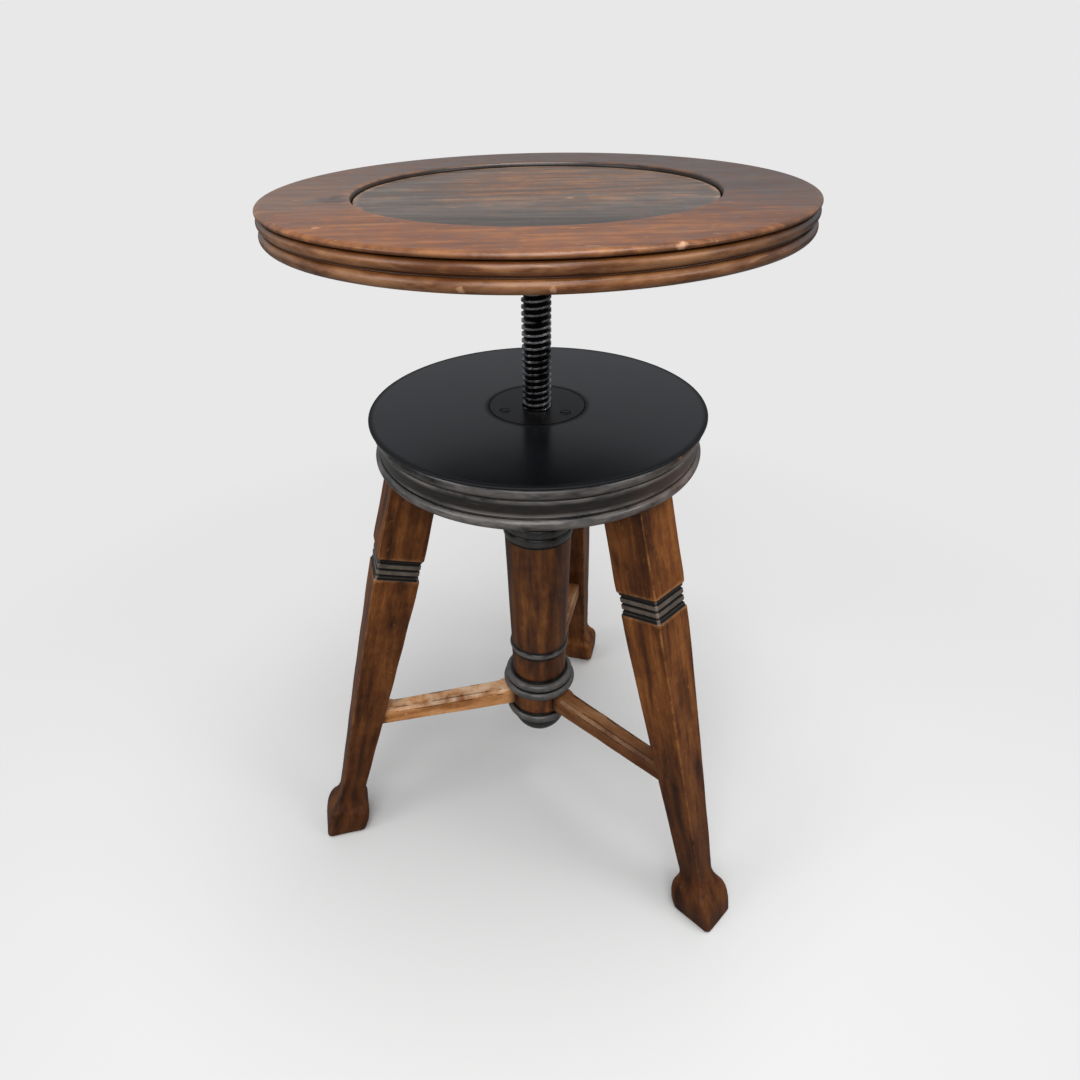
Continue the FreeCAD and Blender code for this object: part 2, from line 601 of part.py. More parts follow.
# The legs, cut to one pattern on both pairs of faces
def stretcher_frame(bearing, along, extra=""):
    """Placement text on a stretcher's line, X out along it, at a distance from the axis."""
    out = f"({along}) * cos(stretcher_lift)"
    return place(f"{out} * cos({bearing})", f"{out} * sin({bearing})",
                 f"{STRETCHER_HEIGHT} + ({along}) * sin(stretcher_lift)",
                 f"{spin('Z', bearing)} * {spin('Y', '-stretcher_lift')}{extra}")


def side_pattern(side, less, level):
    """One edge of the leg's pattern from the sole up, as (across, along). side is 1 or -1;
    less slims the leg; level makes foot and top lie level when the leg leans."""
    sign = "" if side > 0 else "-"

    def at(half, height):
        """A point given by its half width and its height above the floor."""
        if level:
            return (f"{sign}({half}) * cos(leg_splay)",
                    f"({height}) / cos(leg_splay) - {sign}({half}) * sin(leg_splay)")
        return (f"{sign}({half} - {less})", f"({height}) / cos(leg_splay)")

    def along(half, distance):
        """A point given by its half width and its distance along the leg."""
        return (f"{sign}({half} - {less})", distance)

    sole = ("sole_side / 2", "0")
    if not level:
        sole = ("sole_side / 2 - (foot_side - sole_side) / 4", "-foot_widest / 2")
    edge = [at(*sole),
            at("foot_side / 2", "foot_widest"),
            at("foot_side / 2 - 0.5", "foot_widest + (foot_brow - foot_widest) * 0.55") + ("via",),
            at("foot_side / 2 - 2", "foot_brow"),
            at("ankle_side / 2 + 2.6", "foot_brow + (ankle_height - foot_brow) * 0.48") + ("via",),
            along("ankle_side / 2", ANKLE),
            along("leg_middle_side / 2", LEG_MIDDLE),
            along("leg_swell_side / 2", f"{BAND_MIDDLE} - leg_band_wide / 2 - band_shoulder"),
            along("leg_band_side / 2", f"{BAND_MIDDLE} - leg_band_wide / 2")]
    for number in (-1, 0, 1):
        middle = f"{BAND_MIDDLE} + {number} * reed_pitch"
        edge += [along("leg_band_side / 2", f"{middle} - groove_wide / 2"),
                 along("leg_band_side / 2 - groove_deep", middle) + ("via",),
                 along("leg_band_side / 2", f"{middle} + groove_wide / 2")]
    edge += [along("leg_band_side / 2", f"{BAND_MIDDLE} + leg_band_wide / 2"),
             along("leg_top_side / 2", f"{BAND_MIDDLE} + leg_band_wide / 2 + band_shoulder")]
    if level:
        half = "leg_top_side / 2 / cos(leg_splay)"
        edge.append((f"{sign}leg_top_side / 2",
                     f"{LEG_TOP} - {sign}{half} * sin(leg_splay)"))
    else:
        edge.append(along("leg_top_side / 2", f"{LEG_TOP} + leg_top_side"))
    return edge


def pattern(less, level):
    """The whole pattern: up one edge and down the other."""
    return side_pattern(1, less, level) + side_pattern(-1, less, level)[::-1]


def leg(label, bearing):
    """A square leg: padded to the pattern seen from the side, then cut to the pattern seen from
    the front, so that every groove and hollow mitres round its corners."""
    body = new_body(label, leg_axis(bearing, "0"))
    side_view = new_sketch(body, "side_view", "XZ_Plane")
    draw(side_view, pattern("0", True))
    prism(body, "blank", side_view, "foot_side * 2")
    front_view = new_sketch(body, "front_view", "YZ_Plane")
    reach = "foot_side * 1.5"
    top = "head_top * 1.2"
    draw(front_view, [(f"-{reach}", "-foot_side"), (reach, "-foot_side"), (reach, top),
                      (f"-{reach}", top)])
    draw(front_view, pattern("leg_slim", False))
    prism(body, "second_cut", front_view, "foot_side * 4", "Pocket")
    rod(body, "tenon", "leg_tenon_diameter", "leg_tenon_long + leg_top_side / 2",
        place("0", "0", f"{LEG_TOP} - leg_top_side / 2"))
    lean = "(leg_splay - stretcher_lift)"
    half = leg_half(MEETING)
    rod(body, "stretcher_mortise", "stretcher_tenon + 2 * fit_gap",
        f"{half} + stretcher_tenon_long + 1",
        place(f"-2 * {half} * cos({lean})", "0", f"{MEETING} + 2 * {half} * sin({lean})",
              spin("Y", f"90 + {lean}")), "Subtractive")
    soften_sole(body)
    return body


def soften_sole(body):
    """Round the four edges between the sole and the sides of the foot."""
    before = body.Tip
    edges = [f"Edge{number}" for number, edge in enumerate(body.Shape.Edges, 1)
             if edge.BoundBox.ZMax < 1e-3]
    rounding = body.newObject("PartDesign::Fillet", f"{body.Name}_sole_round")
    rounding.Base = (before, edges)
    rounding.setExpression("Radius", sized("sole_round"))
    doc.recompute()


def loft(body, name, sketches, kind="Additive"):
    """Straight-sided loft through sketches."""
    feature = body.newObject(f"PartDesign::{kind}Loft", f"{body.Name}_{name}")
    feature.Profile = sketches[0]
    feature.Sections = sketches[1:]
    feature.Ruled = True
    doc.recompute()
    return feature


def leg_inner_face(distance):
    """Point of a leg's inner face at a distance along the leg, as texts in the frame of the
    stretcher: out along it and up from it."""
    half = leg_half(distance)
    out = f"(foot_circle / 2 - ({distance}) * sin(leg_splay) - {half} * cos(leg_splay))"
    up = f"(({distance}) * cos(leg_splay) - {half} * sin(leg_splay) - {STRETCHER_HEIGHT})"
    return (f"{out} * cos(stretcher_lift) + {up} * sin(stretcher_lift)",
            f"{up} * cos(stretcher_lift) - {out} * sin(stretcher_lift)")


def stretcher(label, bearing):
    """A square bar that tapers towards the leg, coped to the pillar's neck and to the leg's
    slope, with a round tenon at each end and stopped chamfers on the upper edges."""
    body = new_body(label, stretcher_frame(bearing, "0"))
    taper = f"(stretcher_outer - stretcher_inner) / {LEG_MEETS_AT}"

    def half_at(along):
        return f"(stretcher_inner + ({along}) * {taper}) / 2"

    squares = []
    for name, along in (("inner_end", "neck_diameter / 4"), ("outer_end", LEG_MEETS_AT)):
        square = new_sketch(body, name, "YZ_Plane", along)
        half = half_at(along)
        draw(square, [(f"-{half}", f"-{half}"), (half, f"-{half}"), (half, half),
                      (f"-{half}", half)])
        squares.append(square)
    loft(body, "bar", squares)
    for side in ("", "-"):
        marks = []
        begin = "neck_diameter / 2 + chamfer_stop"
        end = f"{LEG_MEETS_AT} - leg_middle_side / 2 - chamfer_stop"
        slope = "1.5 * stretcher_chamfer"
        for number, (along, deep) in enumerate((
                (begin, "0.02"), (f"{begin} + {slope}", "stretcher_chamfer"),
                (f"{end} - {slope}", "stretcher_chamfer"), (end, "0.02"))):
            corner = half_at(along)
            diamond = new_sketch(body, f"chamfer{side and '_far'}_{number}", "YZ_Plane", along)
            draw(diamond, [(f"{side}({corner}) - {deep}", corner),
                           (f"{side}({corner})", f"{corner} - {deep}"),
                           (f"{side}({corner}) + {deep}", corner),
                           (f"{side}({corner})", f"{corner} + {deep}")])
            marks.append(diamond)
        loft(body, f"chamfer_cut{side and '_far'}", marks, "Subtractive")
    cope = new_sketch(body, "cope", "XY_Plane", "0", "0")
    circle(cope, "neck_diameter + fit_gap")
    prism(body, "cope_cut", cope, "stretcher_inner * 4", "Pocket")
    cope.setExpression("AttachmentOffset",
                       sized(f"placement(vector(0;0;0);{spin('Y', 'stretcher_lift')})"))
    shoulder = new_sketch(body, "shoulder", "XZ_Plane")
    low, high = (leg_inner_face(f"{MEETING} {sign} stretcher_inner") for sign in "-+")
    far = f"{LEG_MEETS_AT} + stretcher_inner * 2"
    draw(shoulder, [low, (far, low[1]), (far, high[1]), high])
    prism(body, "shoulder_cut", shoulder, "stretcher_inner * 4", "Pocket")
    rod(body, "inner_tenon", "stretcher_tenon", "stretcher_tenon_long + stretcher_tenon / 2",
        place("neck_diameter / 2 - stretcher_tenon_long", "0", "0", spin("Y", 90)))
    out = f"{LEG_MEETS_AT} - {leg_half(MEETING)}"
    rod(body, "outer_tenon", "stretcher_tenon", "stretcher_tenon_long + stretcher_tenon / 2",
        place(f"{out} - stretcher_tenon / 2", "0", "0", spin("Y", 90)))
    return body


pieces = [seat_board(), seat_panel(), seat_flange(),
          wood_screws("flange_screws", PLATE_LOW, "flange_screw_circle", FLANGE_BEARINGS,
                      "flange_screw_long", 1),
          flange_pin(), seat_spindle(), stop_washer(), stop_nut(), split_pin(),
          base_top(), base_drum(), nut_plate(),
          wood_screws("nut_plate_screws", "head_top", "plate_screw_circle", PLATE_BEARINGS,
                      "plate_screw_long", -1),
          pillar(), pillar_drop()]
for name, bearing in zip(("right", "rear", "left"), LEG_BEARINGS):
    pieces.append(leg(f"leg_{name}", bearing))
    pieces.append(stretcher(f"stretcher_{name}", bearing))

doc.recompute()
faults = [f"{item.Label}: {item.State}" for item in doc.Objects
          if {"Invalid", "Error"} & set(item.State)]
faults += [piece.Label for piece in pieces if piece.Shape.isNull() or not piece.Shape.isValid()]
if faults:
    raise RuntimeError("not built: " + ", ".join(faults))
for piece in pieces:
    piece.Shape.exportStep(f"parts/{piece.Label}.step")
    solids = len(piece.Shape.Solids)
    print(f"{piece.Label}: {solids} solid, {piece.Shape.Volume / 1000:.1f} cm3")
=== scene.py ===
# %% [markdown]
# # A revolving piano stool, from frame to finished look
# The CAD model is loaded as a fixed frame. The wooden pieces, the seat's screw and the screws of
# the nut plate are built again, finer, as numpy surfaces in the same places. The nut plate and the
# iron under the seat keep their CAD shape. Every piece gets the finish of the real one.

# %% Tools and the CAD frame
import math

import bpy
import numpy as np
from mathutils import Matrix


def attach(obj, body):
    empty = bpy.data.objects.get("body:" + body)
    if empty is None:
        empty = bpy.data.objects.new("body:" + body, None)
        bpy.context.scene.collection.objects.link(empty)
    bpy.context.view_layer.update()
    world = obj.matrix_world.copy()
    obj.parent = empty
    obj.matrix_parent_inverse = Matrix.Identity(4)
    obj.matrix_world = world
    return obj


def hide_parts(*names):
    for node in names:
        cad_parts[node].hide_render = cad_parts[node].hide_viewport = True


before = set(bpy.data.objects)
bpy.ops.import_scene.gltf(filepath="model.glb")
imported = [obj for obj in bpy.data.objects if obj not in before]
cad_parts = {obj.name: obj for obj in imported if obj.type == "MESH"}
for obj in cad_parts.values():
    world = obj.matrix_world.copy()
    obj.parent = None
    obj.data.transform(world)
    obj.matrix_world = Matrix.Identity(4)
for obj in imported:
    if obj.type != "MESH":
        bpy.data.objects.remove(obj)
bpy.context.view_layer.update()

# %% [markdown]
# ## From a grid of points to a mesh
# Turned and sawn pieces are both rows of points along the work, each row going once round it.
# As an array, such a grid can carry thousands of points with the exact profile of the cutter. Fans
# close the two ends, and the sign of the enclosed volume tells which way to turn all faces.

# %% Faces of a grid
MM = 0.001


def grid_faces(rows, around):
    """Quads between neighbouring rows of a closed grid: (i, j), (i, j+1), (i+1, j+1), (i+1, j)."""
    i, j = np.meshgrid(np.arange(rows - 1), np.arange(around), indexing="ij")
    k = (j + 1) % around
    return np.stack([i * around + j, i * around + k, (i + 1) * around + k,
                     (i + 1) * around + j], -1).reshape(-1, 4)


def fan_faces(row, around, centre, flip):
    """Triangles from one row to a centre point, turned over for the far end."""
    j = np.arange(around)
    a, b = row * around + j, row * around + (j + 1) % around
    tri = np.stack([b, a, np.full(around, centre)], -1)
    return tri[:, ::-1] if flip else tri


def enclosed(points, quads):
    """Six times the signed volume of quads and triangles: the sum of a . (b x c)."""
    a, b, c = (points[quads[:, n]] for n in range(3))
    total = np.einsum("ij,ij->", a, np.cross(b, c))
    if quads.shape[1] == 4:
        d = points[quads[:, 3]]
        total += np.einsum("ij,ij->", a, np.cross(c, d))
    return total


print("a grid of 3 rows of 4 points has", len(grid_faces(3, 4)), "quads")


# %% A skin over rows of points
def placed(name, data):
    """New object at the origin that shows a mesh, a lamp or a camera."""
    thing = bpy.data.objects.new(name, data)
    bpy.context.scene.collection.objects.link(thing)
    return thing


def skin(name, rows, extras, body, node=None):
    """Mesh from rows (m, n, 3) in millimetres, with point attributes, riding on a body. A profile
    that ends where it began makes a ring; fans close the two ends of any other."""
    ring = np.allclose(rows[0], rows[-1])
    if ring:
        rows, extras = rows[:-1], {key: data[:-1] for key, data in extras.items()}
    m, n, _ = rows.shape
    points, quads = rows.reshape(-1, 3), grid_faces(m, n)
    extras = {key: data.reshape((m * n,) + data.shape[2:]) for key, data in extras.items()}
    if ring:
        j = np.arange(n)
        k, last = (j + 1) % n, (m - 1) * n
        quads = np.concatenate([quads, np.stack([last + j, last + k, k, j], -1)])
        tris = np.zeros((0, 3), int)
    else:
        tris = np.concatenate([fan_faces(0, n, m * n, False), fan_faces(m - 1, n, m * n + 1, True)])
        points = np.concatenate([points, [rows[0].mean(0), rows[-1].mean(0)]])
        extras = {key: np.concatenate([flat, [flat[:n].mean(0), flat[-n:].mean(0)]])
                  for key, flat in extras.items()}
    if enclosed(points, quads) + enclosed(points, tris) < 0:
        quads, tris = quads[:, ::-1], tris[:, ::-1]
    mesh = bpy.data.meshes.new(name)
    mesh.vertices.add(len(points))
    mesh.vertices.foreach_set("co", (points * MM).ravel())
    corners = np.concatenate([quads.ravel(), tris.ravel()])
    sizes = np.concatenate([np.full(len(quads), 4), np.full(len(tris), 3)])
    mesh.loops.add(len(corners))
    mesh.loops.foreach_set("vertex_index", corners.astype(np.int32))
    mesh.polygons.add(len(sizes))
    starts = np.concatenate([[0], np.cumsum(sizes)[:-1]])
    mesh.polygons.foreach_set("loop_start", starts.astype(np.int32))
    mesh.polygons.foreach_set("use_smooth", np.ones(len(sizes), bool))
    mesh.update(calc_edges=True)
    for key, flat in extras.items():
        kind, field = ("FLOAT_VECTOR", "vector") if flat.ndim == 2 else ("FLOAT", "value")
        layer = mesh.attributes.new(key, kind, "POINT")
        layer.data.foreach_set(field, np.ascontiguousarray(flat, np.float32).ravel())
    mesh.validate()
    piece = placed(name, mesh)
    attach(piece, body)
    if node:
        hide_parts(node)
    print(name, len(sizes), "faces")
    return piece


# %% [markdown]
# ## Profiles with eased corners
# No corner on an old stool is sharp: the lathe tool, sanding and a century of dusters ease each one.
# A small curve with a support point on each side keeps the shading of the flats flat.

# %% Arcs and profiles
def arc(start, via, end, count=14):
    """Points of the circle through three points, from start to end: centre from the two
    perpendicular bisectors, then equal steps of angle."""
    (ax, ay), (bx, by), (cx, cy) = start, via, end
    d = 2 * (ax * (by - cy) + bx * (cy - ay) + cx * (ay - by))
    a2, b2, c2 = ax * ax + ay * ay, bx * bx + by * by, cx * cx + cy * cy
    ux = (a2 * (by - cy) + b2 * (cy - ay) + c2 * (ay - by)) / d
    uy = (a2 * (cx - bx) + b2 * (ax - cx) + c2 * (bx - ax)) / d
    angle = [math.atan2(y - uy, x - ux) for x, y in (start, via, end)]
    sweep = (angle[2] - angle[0]) % (2 * math.pi)
    if (angle[1] - angle[0]) % (2 * math.pi) > sweep:
        sweep -= 2 * math.pi
    steps = angle[0] + sweep * np.linspace(0, 1, count)
    radius = math.hypot(ax - ux, ay - uy)
    return np.stack([ux + radius * np.cos(steps), uy + radius * np.sin(steps)], 1)


def profile(*parts):
    """One polyline from single points and arcs, with repeated points dropped."""
    line = np.concatenate([np.atleast_2d(np.asarray(part, float)) for part in parts])
    keep = np.r_[True, np.hypot(*np.diff(line, axis=0).T) > 1e-6]
    return line[keep]


rounded_end = profile((0, 0), arc((0, 0), (5, 5), (10, 0)), (10, 0))
print("a half round in", len(rounded_end), "points, highest", rounded_end[:, 1].max().round(2), "mm")


# %% Eased corners and short steps
def eased(line, radius):
    """Replace each corner by the quadratic curve that starts and ends radius away from it, never
    more than 0.4 of a side, with a support point just outside each end."""
    before, here, after = line[:-2], line[1:-1], line[2:]
    back, on = before - here, after - here
    back_long, on_long = np.hypot(*back.T)[:, None], np.hypot(*on.T)[:, None]
    cut = np.minimum(radius, 0.4 * np.minimum(back_long, on_long))
    back, on = back / back_long * cut, on / on_long * cut
    t = np.array([0, 0.33, 0.67, 1])[None, :, None]
    curve = ((1 - t) ** 2 * (here + back)[:, None] + 2 * t * (1 - t) * here[:, None]
             + t ** 2 * (here + on)[:, None])
    corner = [(here + back * 1.2)[:, None], curve, (here + on * 1.2)[:, None]]
    whole = np.concatenate([line[:1], np.concatenate(corner, 1).reshape(-1, 2), line[-1:]])
    keep = np.r_[True, np.hypot(*np.diff(whole, axis=0).T) > 1e-4]
    return whole[keep]


def stepped(line, longest):
    """Cut every side longer than a given length into equal steps."""
    side = np.hypot(*np.diff(line, axis=0).T)
    count = np.maximum(1, np.ceil(side / longest).astype(int))
    at = np.repeat(np.arange(len(side)), count)
    first = np.cumsum(count) - count
    t = ((np.arange(count.sum()) - first[at]) / count[at])[:, None]
    return np.concatenate([line[at] * (1 - t) + line[at + 1] * t, line[-1:]])


print("the same, eased and stepped, in", len(stepped(eased(rounded_end, 0.3), 1)), "points")

# %% [markdown]
# ## Where hands and dirt leave their mark
# Polish wears off what stands out and gathers with dirt in what lies deep. Both follow from one
# measure: how far a point stands outside its own profile after smoothing.

# %% What stands out and what lies deep
STEP, WEAR_REACH, FULL_WEAR = 0.15, 1.3, 0.35


def share(value):
    """A value held between 0 and 1."""
    return np.clip(value, 0, 1)


def blurred(values, step, reach, half):
    """Values at even steps, smoothed by a bell curve of the given reach over half steps each way."""
    bell = np.exp(-0.5 * (np.arange(-half, half + 1) * step / reach) ** 2)
    return np.convolve(np.pad(values, half, mode="edge"), bell / bell.sum(), "valid")


def standing_out(line, reach):
    """Signed distance, in millimetres, from the profile smoothed by a bell curve of the given
    reach, along the outward normal. Positive on crests, negative in grooves."""
    side = np.hypot(*np.diff(line, axis=0).T)
    along = np.r_[0, np.cumsum(side)]
    even = np.arange(0, along[-1], STEP)
    dense = np.stack([np.interp(even, along, line[:, k]) for k in (0, 1)], 1)
    half = int(3 * reach / STEP)
    smooth = np.stack([blurred(dense[:, k], STEP, reach, half) for k in (0, 1)], 1)
    slope = np.gradient(dense, axis=0)
    normal = np.stack([slope[:, 1], -slope[:, 0]], 1)
    normal /= np.maximum(np.hypot(*normal.T), 1e-9)[:, None]
    height = ((dense - smooth) * normal).sum(1)
    shift = np.interp(along, even, height)
    area = np.sum(line[:-1, 0] * line[1:, 1] - line[1:, 0] * line[:-1, 1])
    return shift if area > 0 else -shift


beaded = profile((20, 0), (20, 4), arc((20, 4), (21, 5), (20, 6)), (20, 6), (20, 10))
print("a 1 mm bead stands out by", standing_out(beaded, WEAR_REACH).max().round(2), "mm")


# %% Slow random change
def drift(points, size, seed, count=8):
    """Smooth random value near -1 to 1: twice the mean of some sine waves in random directions,
    with wavelengths about the given size in millimetres."""
    rng = np.random.default_rng(seed)
    waves = rng.normal(size=(count, 3))
    waves *= (2 * np.pi / size / np.linalg.norm(waves, axis=1) * rng.uniform(0.6, 1.6, count))[:, None]
    phase = rng.uniform(0, 2 * np.pi, count)
    return np.sin(points @ waves.T + phase).mean(-1) * 2


metre = drift(np.linspace([0, 0, 0], [1000, 0, 0], 500), 60, 1)
print("drift over a metre:", metre.min().round(2), "to", metre.max().round(2))


# %% Turned rows
def turned(line, around, grain_along="z", seed=1):
    """Rows of a turned piece: (r cos a, r sin a, z) for every profile point and angle, with the
    radius wandering by a tenth of a millimetre. Also the grain space, the wear and the dirt."""
    angle = np.linspace(0, 2 * np.pi, around, endpoint=False)
    r, z = line[:, 0][:, None], line[:, 1][:, None]
    rows = np.stack([r * np.cos(angle), r * np.sin(angle), z + 0 * angle], -1)
    sway = drift(rows, 60, seed) * 0.06
    rows[..., :2] *= (1 + sway / np.maximum(r, 8))[..., None]
    out = standing_out(line, WEAR_REACH)[:, None] + 0 * angle
    order = {"z": [2, 0, 1], "x": [0, 1, 2]}[grain_along]
    return rows, {"grain": rows[..., order] * MM, "wear": share(out / FULL_WEAR),
                  "soot_and_painted_shade": share(-out / FULL_WEAR)}


def round_the_side(rows, stretch, tall=1.0):
    """Grain space of a turned side: the angle from the front times stretch, the height times tall,
    and the radius. Streaks then run round the side, and their seam lies at the back."""
    x, y, z = np.moveaxis(rows, -1, 0)
    return np.stack([np.arctan2(x, -y) * stretch, z * tall, np.hypot(x, y)], -1) * MM


# %% [markdown]
# ## The seat
# A turned board with a broad flat rim, a rounded lip and two bold beads. Its inset panel lies a few
# millimetres lower. Grain runs straight across the whole seat, so both read the same grain space.

# %% Seat board
RIM, UNDER, EDGE, WELL = 609.0, 589.0, 180.0, 120.6
WELL_FLOOR = RIM - 8
BEAD = (RIM - UNDER - 3.2 - 1.8) / 2
SIDE_TOP, SHADOW = 606, 605.2  # where the side begins, and the dark line under the lip


def seat_board():
    """Profile from the underside out over two beads and the lip, in across the rim to the well."""
    quirk, root = EDGE - 3.9, EDGE - 2.7
    low_top = UNDER + BEAD - 0.25
    up_low = UNDER + BEAD + 1.15
    up_top = UNDER + 2 * BEAD + 0.6
    lip_low = RIM - 3.6
    line = profile(
        (2, UNDER), arc((root, UNDER), (EDGE, UNDER + BEAD / 2), (root, low_top)),
        (quirk, low_top), (quirk, up_low),
        arc((root, up_low), (EDGE, (up_low + up_top) / 2), (root, up_top)),
        (quirk, up_top), (quirk, lip_low), (EDGE - 2.2, lip_low),
        arc((EDGE - 1.7, lip_low), (EDGE - 0.1, RIM - 2.0), (EDGE - 1.0, RIM - 0.7), 10),
        arc((EDGE - 1.0, RIM - 0.7), (EDGE - 2.5, RIM - 0.1), (EDGE - 4.4, RIM), 6),
        arc((WELL + 2.5, RIM), (WELL + 0.73, RIM - 0.73), (WELL, RIM - 2.5), 8),
        (WELL, WELL_FLOOR), (2, WELL_FLOOR))
    return stepped(eased(line, 0.5), 6)


def rim_marks(rows, extras):
    """Marks by height and by bearing from +X. side goes from 0 on the rim to 1 on the beads, front
    is 1 where the player sits, and to_right is 1 at the right front, where painted shade fills the
    quirk under the lip. Beside dust and wear the marks hold painted light: shadow under the lip and
    in the well, a warm lit front with highlights on the beads, and grey sheen and shade further back."""
    x, y, z = np.moveaxis(rows, -1, 0)
    out, bearing = np.hypot(x, y), np.arctan2(y, x)
    degrees = np.degrees(bearing)
    side = share((SIDE_TOP - z) / 4)
    front = share(-np.sin(bearing) * 1.7 - 0.45)
    to_right = share((degrees + 65) / 35) * share((60 - degrees) / 30)
    dust = share(extras["soot_and_painted_shade"] * 0.9 - 0.25) * np.where(z < 600, 0.7, 1)
    # Painted shade: a dark line under the lip, deeper in the quirk at the right front, and the wall of
    # the well in full dark.
    lip_shadow = share(1 - np.abs(z - SHADOW) / 1.6) * (out > 170)
    under_lip = share((z - 600.5) / 2) * (z < SIDE_TOP)
    in_well = 1.0 * (out < WELL + 0.7) * (z < RIM - 0.8)
    extras["soot_and_painted_shade"] = np.maximum.reduce([dust, 0.8 * lip_shadow, 0.85 * to_right * under_lip, in_well])
    extras["grain"] = np.where(side[..., None] > 0.3, round_the_side(rows, EDGE * 0.35, 1.3),
                               extras["grain"])
    # On the beads the worn colour grows towards the front: a painted highlight over the real wear.
    extras["wear"] *= np.where(side > 0.7, 0.2 + 0.7 * front, 0.2)
    # Painted light and sheen: warm and lit in front, a grey sheen towards the back and sides.
    extras["warm"] = share(front * (1 + 0.3 * side) + 0.36 * (1 - side) - 0.1 - 0.2 * side)
    # Painted shade: darkest at the back right, and darker on the beads at the right front.
    darkest = math.radians(48)
    extras["shade"] = share(0.5 + 0.7 * np.cos(bearing - darkest) + 0.3 * side * to_right)
    return extras


rows, extras = turned(seat_board(), 240, "x", 3)
seat = skin("seat_board_turned", rows, rim_marks(rows, extras), "seat", "seat_board")

# %% Seat panel
PANEL_R, PANEL_TOP, BEVEL = 120, RIM - 3, 0.8
line = profile((2, WELL_FLOOR), (PANEL_R, WELL_FLOOR), (PANEL_R, PANEL_TOP - BEVEL),
               (PANEL_R - BEVEL, PANEL_TOP), (2, PANEL_TOP))
rows, extras = turned(stepped(eased(line, 0.4), 4), 200, "x", 4)
x, y = rows[..., 0], rows[..., 1]
# The polish is worn off in an oval of 190 by 170 mm behind the middle; the grey round it is partly
# a painted sheen. The last millimetre at the edge is darkened, partly dirt and partly painted shade
# in the gap, and the front is painted darker as the shade of the rim.
worn_oval = 1.25 - np.hypot((x - 8) / 95, (y - 38) / 85)
extras["warm"] = share(worn_oval + 0.35 * drift(rows * [0.25, 1, 1], 16, 11))
extras["soot_and_painted_shade"] = share((np.hypot(x, y) - PANEL_R + 1.1) / 0.9)
extras["shade"] = share((-y - 55) / 45)
panel = skin("seat_panel_turned", rows, extras, "seat", "seat_panel")

# %% [markdown]
# ## The screw
# A square-crested thread of 4.9 mm pitch, cut on the lathe. Its crests are flat and bright, its
# grooves dark with old grease. One sheet holds the whole helix, because the radius depends only on
# height minus pitch times angle.

# %% Screw
PITCH, CREST, DEPTH = 4.9, 11.0, 1.7
THREAD_LOW, THREAD_HIGH = 356.2, 566.8


def threaded(z, angle):
    """Radius at a height and an angle. The phase is the height left over after the helix has
    climbed, as a share of the pitch, and the groove is a smooth step down and up again."""
    phase = ((z - PITCH * angle / (2 * np.pi)) / PITCH) % 1
    root, flank = 0.24, 0.09
    up = share((np.abs(phase - 0.5) - root) / flank)
    groove = 1 - up * up * (3 - 2 * up)
    run_out = share((z - 357) / 3) * share((566 - z) / 3)
    return CREST - DEPTH * groove * run_out, groove


def screw(around=96):
    """Rows up the whole screw: stud, neck, thread and shank, with the radius of each."""
    thread = np.arange(THREAD_LOW, THREAD_HIGH, PITCH / 18)
    stud = np.array([[341.4, 5.0], [342.4, 6], [352.2, 6], [352.4, 7], [355.8, 7], [356, 9.8]])
    shank = np.array([[567, 9.8], [567.1, 8.5], [588.2, 8.5], [588.7, 8]])
    z = np.r_[stud[:, 0], thread, shank[:, 0]]
    angle = np.linspace(0, 2 * np.pi, around, endpoint=False)
    radius, groove = threaded(thread[:, None], angle)
    groove = np.concatenate([np.zeros((len(stud), around)), groove, np.zeros((len(shank), around))])
    radius = np.concatenate([stud[:, 1:] + 0 * angle, radius, shank[:, 1:] + 0 * angle])
    rows = np.stack([radius * np.cos(angle), radius * np.sin(angle), z[:, None] + 0 * angle], -1)
    return rows, {"grain": rows * MM, "wear": 1 - groove, "soot_and_painted_shade": groove}


rows, extras = screw()
spindle = skin("seat_screw_cut", rows, extras, "seat", "seat_spindle")

# %% [markdown]
# ## The head
# A thin black disc lies on a moulded drum with a half-round bead, a plain sunk band and a second
# bead. Its ebonised finish is rubbed grey on the beads, partly as a painted highlight, and brown at
# one side.

# %% Black disc
TOP, SEAM, DRUM, LOW = 456.0, 453.8, 452.0, 420.5
DISC_R, PLATE_R = 130.2, 37.1

line = profile((PLATE_R, DRUM), (60, DRUM), (60, SEAM), (DISC_R, SEAM),
               arc((DISC_R, SEAM), (DISC_R + 0.8, (SEAM + TOP) / 2), (DISC_R, TOP), 12),
               (PLATE_R + 0.8, TOP), (PLATE_R, TOP - 0.9), (PLATE_R, DRUM))
rows, extras = turned(stepped(eased(line, 0.3), 4), 240, "x", 5)
disc = skin("head_disc_lacquered", rows, extras, "base", "base_top")

# %% Drum
hole, band = 23.1, 125.8
quirk = band - 0.8
line = profile(
    (hole, LOW), arc((126, LOW), (129, LOW + 4.25), (126, LOW + 8.5)),
    (quirk, LOW + 8.5), (quirk, LOW + 9.7), (band, LOW + 9.7), (band, DRUM - 9.2),
    (quirk, DRUM - 9.2), (quirk, DRUM - 8),
    arc((124.8, DRUM - 8), (128.8, DRUM - 3), (124.8, SEAM)), (60, SEAM), (60, DRUM), (hole, DRUM))
rows, extras = turned(stepped(eased(np.concatenate([line, line[:1]]), 0.6), 3.5), 300, "x", 6)
height = rows[..., 2]
